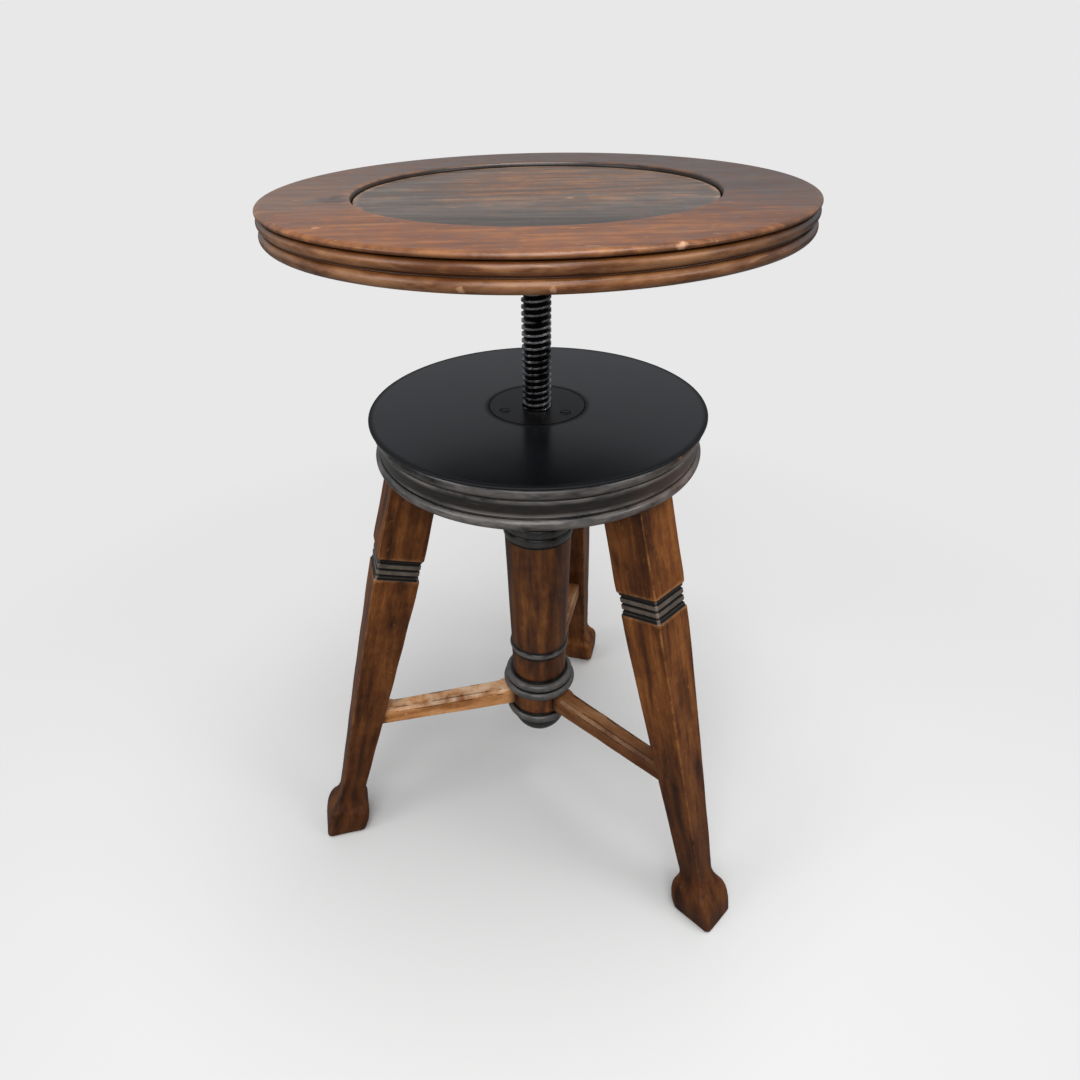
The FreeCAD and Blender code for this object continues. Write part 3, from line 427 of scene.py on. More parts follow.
# The black is rubbed to brown round one bearing, and painted shade lies thick in the quirk under the
# bead.
brown = -34
from_brown = np.abs(np.degrees(np.arctan2(rows[..., 1], rows[..., 0])) - brown)
extras["warm"] = 0.9 * share(1 - from_brown / 34)
extras["grain"] = round_the_side(rows, 128 * 0.3)
extras["soot_and_painted_shade"] = np.maximum(0.7 * extras["soot_and_painted_shade"] * (height > 436),
                            share(1 - np.abs(height - (DRUM - 8)) / 1.6))
drum = skin("head_drum_turned", rows, extras, "base", "base_drum")

# %% [markdown]
# Three slotted wood screws hold the nut plate. Each head sits just below the plate's face, darker
# at its edge and in its slot, with the slot at its own angle.

# %% Screws of the nut plate
PLATE_SCREWS, SCREWS_AT = (-36.5, 83.5, 203.5), 27


def screw_rows(centre, slot_angle):
    """Rows of one countersunk screw: a low dome with a straight slot 1.1 mm wide, the edge of the
    head, the cone and the shank. The slot is a dip in height where |v| < 0.55 across it."""
    radius = np.r_[0.05, np.linspace(0.25, 4.2, 22), 4.35, 4.45, 4.4, 2.3, 2.3][:, None]
    height = (np.r_[[0] * 23, -0.3, -0.8, -1.0, -3.2, -16.0] - 0.25)[:, None]
    angle = np.linspace(0, 2 * np.pi, 96, endpoint=False)
    on_top = radius < 4.3
    dip = share((0.62 - np.abs(radius * np.sin(angle - slot_angle))) / 0.16) * on_top
    dome = 0.3 * share(1 - (radius / 4.4) ** 2) * on_top
    rows = np.stack([centre[0] + radius * np.cos(angle), centre[1] + radius * np.sin(angle),
                     TOP + height + dome - 0.8 * dip], -1)
    return rows, 1 - share(dip + (radius > 4.0))


def plate_screws():
    """The three screws, each a piece of its own. The first stands for the CAD node of all three."""
    heads = []
    for number, bearing in enumerate(PLATE_SCREWS):
        b = math.radians(bearing)
        centre = (SCREWS_AT * math.cos(b), SCREWS_AT * math.sin(b))
        rows, polish = screw_rows(centre, b + 0.9 * number + 0.5)
        heads.append(skin(f"plate_screw_{number}", rows, {"wear": polish}, "base",
                          None if number else "nut_plate_screws"))
    return heads


plate_heads = plate_screws()

# %% [markdown]
# ## The pillar
# One long turning: a black reeded band under the head, a gentle taper, a thin ring, two beads, a
# plain neck and a last bead. A mask marks what the maker painted black.

# %% Pillar
PILLAR_END = 123.9


def pillar_line():
    """Profile from the head down to the last bead."""
    shaft, waist, neck = 29.7, 26.5, 28.5
    band_top, reed = LOW - 56.5, 26 / 3
    reeds = [arc((shaft - 0.5, band_top - reed * k), (shaft + 0.9, band_top - reed * (k + 0.5)),
                 (shaft - 0.5, band_top - reed * (k + 1)), 12) for k in range(3)]
    return profile(
        (2, DRUM), (23, DRUM), (23, LOW), (shaft, LOW), (shaft, band_top + 0.8), *reeds,
        (shaft - 0.25, band_top - 26.8), arc((waist, 213), (waist + 1.6, 210), (waist, 207), 10),
        (waist - 0.3, 176), arc((29, 176), (33, 172), (30.8, 167.7), 14),
        arc((30.8, 167.7), (35.5, 163), (30.8, 158.3), 16), (neck, 158.3),
        arc((neck, 133.1), (33, 128.5), (neck, PILLAR_END), 16), (2, PILLAR_END))


# Heights of what is painted black: reeds, ring, the two beads, the last bead.
PAINTED = ((337, 364.6), (206.4, 213.6), (157.6, 177), (0, 134))

rows, extras = turned(stepped(eased(pillar_line(), 0.4), 4), 128, "z", 7)
z = rows[..., 2]
extras["black"] = 1.0 * np.any([(z > low) & (z < high) for low, high in PAINTED], axis=0)
bearing = np.arctan2(rows[..., 1], rows[..., 0])
extras["shade"] = share(0.1 - np.cos(bearing + math.radians(30)))
pillar = skin("pillar_turned", rows, extras, "base", "pillar")

# %% Drop under the pillar
tenon = PILLAR_END + 12
line = profile((2, tenon), (7, tenon), (7, PILLAR_END),
               arc((27, PILLAR_END), (20.68, 103.97), (1.2, 92.92), 26))
rows, extras = turned(stepped(eased(line, 0.4), 3), 96, "z", 8)
extras["black"] = np.ones(rows.shape[:2])
drop = skin("pillar_drop_turned", rows, extras, "base", "pillar_drop")

# %% [markdown]
# ## The legs
# Each leg is a square bar sawn to one pattern on both pairs of faces. Rows of a rounded square run
# along it, and the half width of each row comes from the pattern. Near the foot and under the head
# the rows tip level, because the leg leans while its foot stands flat.

# %% Pattern of a leg
SPLAY = math.radians(16)
COS, SIN = math.cos(SPLAY), math.sin(SPLAY)
FOOT_AT, LEG_TOP = 220, LOW / COS
BAND = LEG_TOP - 83.6 - 9  # middle of the grooved band
BEARINGS = {"right": -44.8, "rear": 75.2, "left": 195.2}


def leg_pattern():
    """Half width against distance along the leg: foot, hollow ankle, long swelling taper, sloped
    shoulder, three round grooves, shoulder and top. The foot is carved softer than the rest."""
    ankle, low, high = 51 / COS, BAND - 9, BAND + 9
    foot = arc((21.2, 15 / COS), (20.7, 24.3 / COS), (19.2, 32 / COS), 12)
    hollow = arc((19.2, 32 / COS), (14.0, 41.1 / COS), (11.4, ankle), 24)
    grooves = [arc((18.4, BAND + k * 6.2 - 1.2), (17.4, BAND + k * 6.2), (18.4, BAND + k * 6.2 + 1.2), 10)
               for k in (-1, 0, 1)]
    line = profile((20, 0), foot, hollow, (11.4, ankle), (15.9, (ankle + BAND) / 2), (19.5, low - 2),
                   (18.4, low), *grooves, (18.4, high), (19.6, high + 2), (19.6, LEG_TOP + 20))
    step = 0.1
    at = np.arange(0, LEG_TOP + 20, step)
    half = np.interp(at, line[:, 1], line[:, 0])
    soft = share((75 - at) / 15)
    return at, blurred(half, step, 0.25, 90) * (1 - soft) + blurred(half, step, 2.6, 90) * soft


AT, HALF = leg_pattern()
print("leg", round(LEG_TOP, 1), "mm along, half widths", HALF.min().round(1), "to", HALF.max().round(1))


# %% Rounded square
def square_ring(along_face=9, corner=6):
    """Unit outline of a rounded square: for each point its place on the core rectangle, from -1
    to 1 both ways, and the direction in which the corner radius pushes it out."""
    turns = np.linspace(0, np.pi / 2, corner)
    core, push = [], []
    for quarter in range(4):
        angle = quarter * np.pi / 2
        spin = np.array([[np.cos(angle), -np.sin(angle)], [np.sin(angle), np.cos(angle)]])
        face = np.stack([np.ones(along_face), np.linspace(-1, 1, along_face + 2)[1:-1]], 1)
        bend = np.stack([np.cos(turns), np.sin(turns)], 1)
        core += [face @ spin.T, np.ones((corner, 2)) @ spin.T]
        push += [np.tile([1.0, 0.0], (along_face, 1)) @ spin.T, bend @ spin.T]
    return np.concatenate(core), np.concatenate(push)


print("a row of a leg has", len(square_ring()[0]), "points")


# %% Shell of a leg
def leg_stations():
    """Distances along a leg, close together where the pattern bends, and how far each row is tipped
    level: 1 at the foot and at the top, 0 between them. Both are columns."""
    sole = 3.5 * (1 - np.cos(np.linspace(0.3, np.pi / 2, 8)))
    station = np.r_[sole, np.arange(4.4, 62, 1.3), np.arange(62, BAND - 18, 4.0),
                    np.arange(BAND - 18, BAND + 18, 0.4), np.arange(BAND + 18, LEG_TOP, 4.0), LEG_TOP]
    tip = share((53.1 - station) / 20) + share((station - BAND - 18) / 50)
    return station[:, None], tip[:, None]


def leg_shell(seed, tenon_r=11, slimmer=1, sole_r=3.5):
    """Rows of one leg in its own frame, X outwards and Z along it, with its tenon. A tipped row is
    moved along by -X sin(splay) and then takes its width across from where it has come to."""
    core, push = square_ring()
    station, tip = leg_stations()
    shrink = sole_r - np.sqrt(np.maximum(0, sole_r ** 2 - np.maximum(0, sole_r - station * COS) ** 2))
    easing = np.interp(station, [0, 22, 36, 60, 320, BAND - 12, BAND + 12, BAND + 20, LEG_TOP],
                       [5.2, 5.2, 3.4, 1.3, 1.1, 1.9, 1.9, 1.1, 1.1])
    easing = easing * (1 + 0.3 * drift(station * [1, 0, 0], 45, seed))[:, None]
    x = core[:, 0] * (np.interp(station, AT, HALF) - shrink - easing) + push[:, 0] * easing
    along = station - x * SIN * tip
    across = np.interp(along, AT, HALF) - slimmer - shrink
    y = core[:, 1] * (across - easing) + push[:, 1] * easing
    x = x * (1 - tip * (1 - COS))
    local = np.stack([x, y, along], -1)
    local += drift(local, 38, seed + 1)[..., None] * 0.12 * np.stack([np.sign(x), np.sign(y), 0 * x], -1)
    turn = np.arctan2(local[-1, :, 1], local[-1, :, 0])
    tenon = np.stack([tenon_r * np.cos(turn), tenon_r * np.sin(turn), 0 * turn], -1)
    shoulder = tenon + [0, 0, 1] * (LEG_TOP - 0.05 - tenon[:, :1] * SIN)
    return np.concatenate([local, shoulder[None], tenon[None] + [0, 0, LEG_TOP + 24]])


def to_bearing(out, aside, up, bearing):
    """Points given by distance out, aside and up, turned about the stool's axis to a bearing."""
    b = math.radians(bearing)
    return np.stack([out * math.cos(b) - aside * math.sin(b),
                     out * math.sin(b) + aside * math.cos(b), up], -1)


# %% Legs with their marks
LEG_SHADES = {"left": (0.4, 0.45), "rear": (0.75, -0.4), "right": (0.1, 0.75)}


def leg_marks(name, local, rows, seed):
    """Wear on the arrises and on what stands out of the pattern's running mean over 6.1 mm, dirt in
    what lies under it, black on the band, and shade that changes towards the foot."""
    core, push = square_ring()
    arris = (np.abs(core).min(1) > 0.99) * share(np.abs(push).min(1) / 0.3)
    mean = np.convolve(np.pad(HALF, 30, mode="edge"), np.ones(61) / 61, "valid")
    out = np.interp(local[..., 2], AT, HALF - mean)
    on_foot = share((70 - local[..., 2]) / 20)
    wear = share(arris * 0.6 + share(out / FULL_WEAR) * 0.8) * (1 - 0.6 * on_foot)
    high_shade, low_shade = LEG_SHADES[name]
    low = share(1 - rows[..., 2] / 360)
    shade = high_shade + low_shade * low + 0.12 * drift(rows, 90, seed + 5)
    return {"grain": local[..., [2, 0, 1]] * MM + seed * 0.37, "wear": wear,
            "soot_and_painted_shade": share(-out / 0.3 - 0.3), "shade": share(shade),
            "black": share((10.6 - np.abs(local[..., 2] - BAND)) / 0.5)}


def leg(name, bearing, seed):
    """One leg, leaned by the splay and turned to its bearing: out = 220 + X cos - Z sin and
    up = X sin + Z cos of the splay."""
    local = leg_shell(seed)
    x, y, z = np.moveaxis(local, -1, 0)
    rows = to_bearing(FOOT_AT + x * COS - z * SIN, y, np.maximum(0, x * SIN + z * COS), bearing)
    return skin(f"leg_{name}_sawn", rows, leg_marks(name, local, rows, seed), "base", f"leg_{name}")


legs = [leg(name, bearing, 20 + number) for number, (name, bearing) in enumerate(BEARINGS.items())]

# %% [markdown]
# ## The stretchers
# Square bars that taper towards the legs. Their upper edges have stopped chamfers: a flat that runs
# out in a short slope before each end. Feet have scuffed the polish off these edges.

# %% Line of a stretcher
LIFT = math.radians(2.2)
NECK_R, INNER, OUTER, TENON = 28.55, 19.5, 16.0, 5.5
LINE_Z = 163 - 4.7 - INNER / 2 - 35.5 * math.sin(LIFT)
MEETS = (FOOT_AT - LINE_Z * math.tan(SPLAY)) / (math.cos(LIFT) + math.sin(LIFT) * math.tan(SPLAY))
REACH = MEETS - 13.2
BAR_SHADES = {"left": 0.0, "rear": 0.7, "right": 0.85}
print("a stretcher shows", round(REACH - NECK_R, 1), "mm between pillar and leg")


# %% Stretchers
def chamfered(y, z, half, cut, on_corner):
    """Push the points of the upper corners back onto the chamfer, the plane |y| + z = 2 half - cut:
    each coordinate gives up half of what stands over it."""
    over = np.abs(y) + z - (2 * half - cut)
    over = np.where(on_corner & (over > 0), over / 2, 0)
    return y - np.sign(y) * over, z - over


def bar_shell(seed, chamfer=3.0):
    """Rows of one bar in its own frame, X along it, with its tenons, and the share of the chamfer
    that each row has. The ends follow the pillar's neck and the leg's slope."""
    t = np.r_[np.linspace(0, 0.12, 10), np.linspace(0.13, 0.87, 46), np.linspace(0.88, 1, 10)][:, None]
    core, push = square_ring(7, 5)
    top_corner = (core[:, 1] > 0.99) & (np.abs(core[:, 0]) > 0.99)
    where = NECK_R + t * (REACH - NECK_R)
    half = (INNER + where * (OUTER - INNER) / MEETS) / 2
    run = share((where - NECK_R - 9) / 5) * share((REACH - 9 - where) / 5)
    cut = chamfer * run
    ease = 0.7 + cut * 0.9 * top_corner
    y = core[:, 0] * (half - ease) + push[:, 0] * ease
    z = core[:, 1] * (half - ease) + push[:, 1] * ease
    y, z = chamfered(y, z, half, cut, top_corner & (cut > 0.2))
    start, stop = np.sqrt(NECK_R ** 2 - y ** 2), REACH - z * math.tan(SPLAY - LIFT)
    local = np.stack([start + t * (stop - start), y, z], -1)
    local += drift(local, 30, seed)[..., None] * 0.1 * np.stack([0 * y, np.sign(y), np.sign(z)], -1)
    ring = np.arctan2(local[0, :, 2], local[0, :, 1])
    spigot = np.stack([0 * ring, TENON * np.cos(ring), TENON * np.sin(ring)], -1)
    near, far = [[spigot + [x, 0, 0] for x in pair]
                 for pair in ((NECK_R - 13, NECK_R + 0.4), (REACH - 0.6, REACH + 13))]
    return np.concatenate([near, local, far]), np.pad(run, ((2, 2), (0, 0)))


def stretcher(name, bearing, seed):
    """One bar, lifted and turned to its bearing. Feet have scuffed its chamfers; the whole upper face of
    the left one is pale, partly scuffs and partly painted light. Dirt lies at both ends."""
    local, run = bar_shell(seed)
    core, push = square_ring(7, 5)
    x, y, z = np.moveaxis(local, -1, 0)
    scuff_and_painted_light = 0.7 * ((core[:, 1] > 0.99) & (np.abs(core[:, 0]) > 0.99)) * run
    # The left bar's whole upper face takes the worn colour: partly scuffs, partly painted light.
    if name == "left":
        between = np.pad(np.ones((len(local) - 4, 1)), ((2, 2), (0, 0)))
        scuff_and_painted_light = np.maximum(scuff_and_painted_light, 0.9 * between * (push[:, 1] > 0.9))
    rows = to_bearing(x * math.cos(LIFT) - z * math.sin(LIFT), y,
                      LINE_Z + x * math.sin(LIFT) + z * math.cos(LIFT), bearing)
    extras = {"grain": local * MM + seed * 0.21, "wear": scuff_and_painted_light,
              "soot_and_painted_shade": share(1 - np.minimum(x - NECK_R, REACH - x) / 7),
              "shade": share(BAR_SHADES[name] + 0.15 * drift(rows, 50, seed + 5))}
    return skin(f"stretcher_{name}_sawn", rows, extras, "base", f"stretcher_{name}")


bars = [stretcher(name, bearing, 40 + number) for number, (name, bearing) in enumerate(BEARINGS.items())]

# %% [markdown]
# ## One helper for the nodes of a material
# A finish is a chain of small nodes. One function adds any of them, so that each material below
# reads from top to bottom like a recipe.

# %% Colour, node and slot
def linear(code, alpha=1.0):
    """sRGB hex code to linear light: c/12.92 below 0.04045, else ((c + 0.055) / 1.055) ** 2.4."""
    channels = [int(code[k:k + 2], 16) / 255 for k in (1, 3, 5)]
    return [c / 12.92 if c <= 0.04045 else ((c + 0.055) / 1.055) ** 2.4 for c in channels] + [alpha]


def add(material, kind, *values, stops=(), **settings):
    """Add one node and return it. values fill its live inputs in order. A capitalised setting is an
    input by name, with _ for a blank, and a small one an option. A value is a number, a hex code,
    a socket, or a node whose first live output is meant. stops are for a colour ramp."""
    node = material.node_tree.nodes.new("ShaderNode" + kind)
    for position, code in stops:
        node.color_ramp.elements.new(position).color = linear(code)
    for end in (0, -1) if stops else ():
        node.color_ramp.elements.remove(node.color_ramp.elements[end])
    for key in [key for key in settings if key[0].islower()]:
        setattr(node, key, settings.pop(key))
    named = [(node.inputs[key.replace("_", " ")], value) for key, value in settings.items()]
    for socket, value in [*zip([i for i in node.inputs if i.enabled], values), *named]:
        if isinstance(value, bpy.types.Node):
            value = next(o for o in value.outputs if o.enabled)
        if isinstance(value, bpy.types.NodeSocket):
            material.node_tree.links.new(value, socket)
        else:
            socket.default_value = linear(value) if isinstance(value, str) else value
    return node


print("mid grey #808080 is", round(linear("#808080")[0], 3), "of full light")


# %% New material and its slots
def bare(name):
    """A new material without any node."""
    material = bpy.data.materials.new(name)
    material.use_nodes = True
    material.node_tree.nodes.clear()
    return material


def dress(pieces, material):
    """Put a material on the slots of CAD nodes, or on a first slot of new pieces."""
    for piece in pieces:
        if not piece.material_slots:
            piece.data.materials.append(material)
        for place in piece.material_slots:
            place.material = material
    print(material.name, len(material.node_tree.nodes), "nodes on", [piece.name for piece in pieces])


# %% [markdown]
# ## Old varnished wood
# The timber is stained and varnished beech or walnut, handled for a century. Fibres show as streaks
# some millimetres wide and 60 mm long, the figure as bands of 16 by 110 mm, uneven stain as blotches
# of 13 mm, chips as nicks of 3 by 9 mm, and pores as short dark dashes. Real pores, 0.1 mm wide, are
# too fine for the picture, so they are drawn 0.6 mm wide. The varnish gives a satin coat. Each
# pattern is a noise stretched along the grain space of its piece.

# %% Sizes and spots
def cells(*sizes):
    """Scale of a pattern in metres whose cells have these sizes in millimetres."""
    return [1000 / size for size in sizes]


def spot(material, centre, radius, edge=0.5):
    """One soft round mark at a place in millimetres: 1 inside, 0 outside its ragged edge."""
    where = add(material, "TexCoord").outputs["Object"]
    ragged = add(material, "TexNoise", where, Scale=700 / radius, Detail=3.0).outputs["Color"]
    shift = add(material, "VectorMath", ragged, (0.5, 0.5, 0.5), operation="SUBTRACT")
    moved = add(material, "VectorMath", shift, [radius * 2 * MM] * 3, where, operation="MULTIPLY_ADD")
    apart = add(material, "VectorMath", moved, [c * MM for c in centre], operation="DISTANCE")
    return add(material, "MapRange", apart, radius * MM, radius * (1 - edge) * MM, 0.0, 1.0)


print("a fibre streak of 60 by 2.2 mm has the scale", [round(s) for s in cells(60, 6.6)])


# %% Varnished wood
def varnished(name, dark, middle, light, worn, painted=None, cool=None, streak_mm=2.2, rough=0.48,
              gloss=0.3, marks=(), shaded=None, chips=0.0, stained=0.0):
    """Material of one varnished piece: fibre streaks, pores, broad clouds, dirt and painted shade, wear
    and painted highlights, and marks. painted is the black and its rubbed grey; cool is what the tone
    turns to where the warm attribute is low, a painted grey sheen on the seat; shaded is the factor at
    full painted shade; chips is the strength of pale specks and stained that of dark clouds; marks are
    (centre, radius, colour, strength)."""
    m = bare(name)
    grain = add(m, "Attribute", attribute_name="grain").outputs["Vector"]
    wear, soot_and_painted_shade, warm, shade, black = [add(m, "Attribute", attribute_name=key).outputs["Fac"]
                                      for key in ("wear", "soot_and_painted_shade", "warm", "shade", "black")]
    fibre = add(m, "Mapping", grain, Scale=cells(60, 3 * streak_mm, 3 * streak_mm))
    streaks = add(m, "TexNoise", fibre, Scale=1.0, Detail=6.0, Roughness=0.62, Distortion=0.5)
    broad = add(m, "Mapping", grain, Scale=cells(110, 16, 16))
    figure = add(m, "TexNoise", broad, Scale=1.0, Detail=3.0, Distortion=0.8)
    short = add(m, "Mapping", grain, Scale=cells(6, 0.6, 0.6))
    pores = add(m, "TexNoise", short, Scale=1.0, Detail=2.0)
    blotch = add(m, "TexNoise", grain, Scale=75.0, Detail=5.0, Roughness=0.65)
    tone = add(m, "Math", blotch, 0.35, -0.2, operation="MULTIPLY_ADD")
    tone = add(m, "Math", streaks, 0.6, tone, operation="MULTIPLY_ADD")
    tone = add(m, "Math", figure, 0.45, tone, operation="MULTIPLY_ADD")
    colour = add(m, "ValToRGB", tone, stops=[(0.3, dark), (0.5, middle), (0.7, light)])
    stain = add(m, "MapRange", figure, 0.5, 0.3, 0.0, stained)
    colour = add(m, "Mix", stain, colour, dark, data_type="RGBA")
    if cool:
        cloud = add(m, "Math", blotch, 1.2, -0.6, operation="MULTIPLY_ADD")
        ragged = add(m, "Math", warm, cloud, operation="ADD", use_clamp=True)
        chill = add(m, "ValToRGB", tone, stops=[(0.3, cool[0]), (0.5, cool[1]), (0.7, cool[2])])
        colour = add(m, "Mix", ragged, chill, colour, data_type="RGBA")
    pore_mask = add(m, "MapRange", pores, 0.44, 0.24, 0.0, 0.7)
    colour = add(m, "Mix", pore_mask, colour, dark, data_type="RGBA")
    patchy = add(m, "MapRange", blotch, 0.38, 0.6, 0.0, 0.75)
    worn_mask = add(m, "Math", wear, patchy, operation="MULTIPLY", use_clamp=True)
    colour = add(m, "Mix", worn_mask, colour, worn, data_type="RGBA")
    if chips:
        nicks = add(m, "Mapping", grain, Scale=(110.0, 330.0, 330.0))
        nick = add(m, "TexNoise", nicks, Scale=1.0, Detail=2.0, Distortion=1.0)
        colour = add(m, "Mix", add(m, "MapRange", nick, 0.68, 0.74, 0.0, chips), colour, worn,
                     data_type="RGBA")
    roughness = add(m, "Math", blotch, 0.3, rough - 0.15, operation="MULTIPLY_ADD")
    if shaded:
        darker = add(m, "Mix", 1.0, colour, shaded, data_type="RGBA", blend_type="MULTIPLY")
        colour = add(m, "Mix", shade, colour, darker, data_type="RGBA")
    if painted:
        roughness = add(m, "Math", black, -0.2, roughness, operation="MULTIPLY_ADD")
        handled = add(m, "Math", blotch, 1.4, 0.0, operation="MULTIPLY_ADD", use_clamp=True)
        rubbed = add(m, "Math", wear, handled, operation="MULTIPLY")
        rubbed = add(m, "Mix", rubbed, painted[0], painted[1], data_type="RGBA")
        colour = add(m, "Mix", black, colour, rubbed, data_type="RGBA")
    # Darker towards near black with dirt, and on the seat, its panel and the drum with painted shade as
    # well.
    dirt = add(m, "Math", soot_and_painted_shade, 0.85, operation="MULTIPLY")
    colour = add(m, "Mix", dirt, colour, "#0c0806", data_type="RGBA")
    for centre, radius, code, strength in marks:
        there = add(m, "Math", spot(m, centre, radius), strength, operation="MULTIPLY")
        colour = add(m, "Mix", there, colour, code, data_type="RGBA")
    height = add(m, "Math", blotch, 0.6, streaks, operation="MULTIPLY_ADD")
    height = add(m, "Math", pores, 0.3, height, operation="MULTIPLY_ADD")
    bump = add(m, "Bump", Strength=0.25, Distance=0.00035, Height=height)
    shader = add(m, "BsdfPrincipled", Base_Color=colour, Roughness=roughness, IOR=1.5,
                 Specular_IOR_Level=gloss, Normal=bump)
    add(m, "OutputMaterial", shader)
    return m


# %% [markdown]
# ## The finish of each wooden piece
# All woods share one recipe. Their colours, gloss, marks and shade were set beside the
# photograph, starting from what each finish looks like when new.

# %% Finish of the seat
PALE, SMUDGE = "#c2946c", "#211815"
# Thin shellac: a soft gloss over brown streaks, with pale nicks and a dark smudge at the left.
# The warm front is painted light, the grey at the back and sides a painted sheen, and the back right
# is painted darker as shade.
rim_wood = varnished(
    "Walnut rim, French polished", "#502a0f", "#744016", "#985f2d", "#c9976c", shaded="#b3a9a2",
    cool=("#46362b", "#5a4537", "#6c5646"), gloss=0.57, rough=0.34, chips=0.4,
    marks=[((69.5, -165.5, 608), 3.2, "#c99a78", 0.9), ((-49, -171, 591.5), 2, PALE, 0.9),
           ((-36, -176, 591.5), 2.4, PALE, 0.9), ((8, -180, 592), 2, PALE, 0.8),
           ((-117, -117, 609), 3, "#c58a5c", 0.7), ((-125, -34, 609), 13, SMUDGE, 0.6),
           ((-128, -22, 609), 9, SMUDGE, 0.55)])
dress([seat], rim_wood)
# The polish of the veneer has gone: satin brown in the middle, dull grey towards the edge, where the
# grey is partly a painted sheen.
panel_wood = varnished(
    "Walnut veneer panel, worn", "#3f2516", "#69452c", "#8f6542", "#a58265",
    cool=("#39312c", "#524841", "#6e6158"), rough=0.4, gloss=0.52, chips=0.3, shaded="#bebbb8",
    marks=[((22, -24, 606), 3.5, "#b98c66", 0.6)])
dress([panel], panel_wood)

# %% Finish of legs, pillar and stretchers
# Stain under oil varnish: the dark streaks go nearly black, and the light ones glow orange.
leg_wood = varnished(
    "Beech, stained and varnished", "#3a1c09", "#804a20", "#a66a34", "#c58a55", stained=0.6,
    painted=("#0e0c0b", "#8a7c70"), gloss=0.24, shaded="#85776e", chips=0.35)
dress(legs, leg_wood)
# The same, darker and glossier from the lathe, with painted bands and a painted drop. Their rubbed
# grey is light enough to serve as a painted highlight as well as wear.
pillar_wood = varnished(
    "Beech, turned, stained and varnished", "#2e1507", "#683a16", "#8e5826", "#a5703f", stained=0.5,
    painted=("#0b0a0a", "#8a8683"), gloss=0.42, chips=0.3, shaded="#93857b")
dress([pillar, drop], pillar_wood)
# Varnish scuffed off by feet: pale, dry and without gloss.
bar_wood = varnished(
    "Beech, scuffed to the wood", "#925a2c", "#dc9a62", "#f0bd8a", "#f8d9b8", stained=0.3,
    gloss=0.2, shaded="#6a584c", chips=0.5)
dress(bars, bar_wood)

# %% Finish of the drum
# Black stain under polish: the beads are rubbed grey, partly a painted highlight, with brown patches at
# one side.
black_wood = varnished(
    "Beech, ebonised and rubbed", "#3c281b", "#4c3323", "#634531", "#a8a29e", gloss=0.7, rough=0.3,
    cool=("#060504", "#0c0a09", "#14110f"), chips=0.15,
    marks=[((98, -82, 454), 5, "#a5714a", 0.8), ((88, -92, 455), 4, "#8a5c3c", 0.7),
           ((110, -64, 454), 5, "#8a5c3c", 0.7)])
dress([drum], black_wood)

# %% [markdown]
# ## Black lacquer
# The top of the head is lacquered black and has gone satin. It is smooth, so the light ground and
# the dark underside of the seat show in it as soft shapes. Dust and rubbing lift the black a little,
# and a faint cool tint in it is a painted reflection.

# %% Lacquer of the disc
lacquer = bare("Black lacquer, satin with age")
where = add(lacquer, "TexCoord").outputs["Object"]
haze = add(lacquer, "TexNoise", where, Scale=40.0, Detail=5.0)
# The faint blue in the black is a painted part of its cool reflection.
colour = add(lacquer, "ValToRGB", haze, stops=[(0.35, "#05060a"), (0.65, "#0a0d12")])
roughness = add(lacquer, "Math", haze, 0.1, 0.19, operation="MULTIPLY_ADD")
edge = add(lacquer, "Attribute", attribute_name="wear").outputs["Fac"]
roughness = add(lacquer, "Math", edge, 0.4, roughness, operation="MULTIPLY_ADD")
coat = add(lacquer, "BsdfPrincipled", Base_Color=colour, Roughness=roughness, IOR=1.5,
           Specular_IOR_Level=0.42)
add(lacquer, "OutputMaterial", coat)
dress([disc], lacquer)

# %% [markdown]
# ## Blackened iron and steel
# The screw is turned steel, black from its finish and from grease, and only the crests of the
# thread are rubbed bright. The nut, its screws and the iron under the seat are cast or cut iron,
# dull and dark, with a grain of about two millimetres.

# %% Iron and steel
def iron(name, base, bright, metal=0.85, rough=0.42, gloss=0.5):
    """Material of one iron piece: blotchy black skin, bright where the wear attribute says."""
    m = bare(name)
    where = add(m, "TexCoord").outputs["Object"]
    wear = add(m, "Attribute", attribute_name="wear").outputs["Fac"]
    speck = add(m, "TexNoise", where, Scale=420.0, Detail=4.0)
    patch = add(m, "TexNoise", where, Scale=70.0, Detail=3.0)
    colour = add(m, "ValToRGB", patch, stops=[(0.3, base), (0.7, bright)])
    polish = add(m, "Math", speck, 0.9, 0.3, operation="MULTIPLY_ADD")
    polish = add(m, "Math", wear, polish, operation="MULTIPLY", use_clamp=True)
    colour = add(m, "Mix", polish, base, colour, data_type="RGBA")
    roughness = add(m, "Math", speck, 0.2, rough - 0.1, operation="MULTIPLY_ADD")
    bump = add(m, "Bump", Strength=0.15, Distance=0.0002, Height=speck)
    shader = add(m, "BsdfPrincipled", Base_Color=colour, Metallic=metal, Roughness=roughness,
                 Specular_IOR_Level=gloss, Normal=bump)
    add(m, "OutputMaterial", shader)
    return m


# Crests rubbed bright by the nut, roots black: the thread reads as a row of thin lights.
dress([spindle], iron("Steel, turned and blackened", "#0a0a0b", "#e4e4e8", 0.95, 0.24))
# Heads and plate hardly shine, so that they stay a shade apart from the lacquer round them.
dress(plate_heads, iron("Steel screw heads, darkened", "#050505", "#1d1b1a", 0.3, 0.4, 0.2))
plate_iron = iron("Cast iron plate, lacquered", "#0d0b0a", "#1c1816", 0.0, 0.34, 0.2)
dress([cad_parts["nut_plate"]], plate_iron)
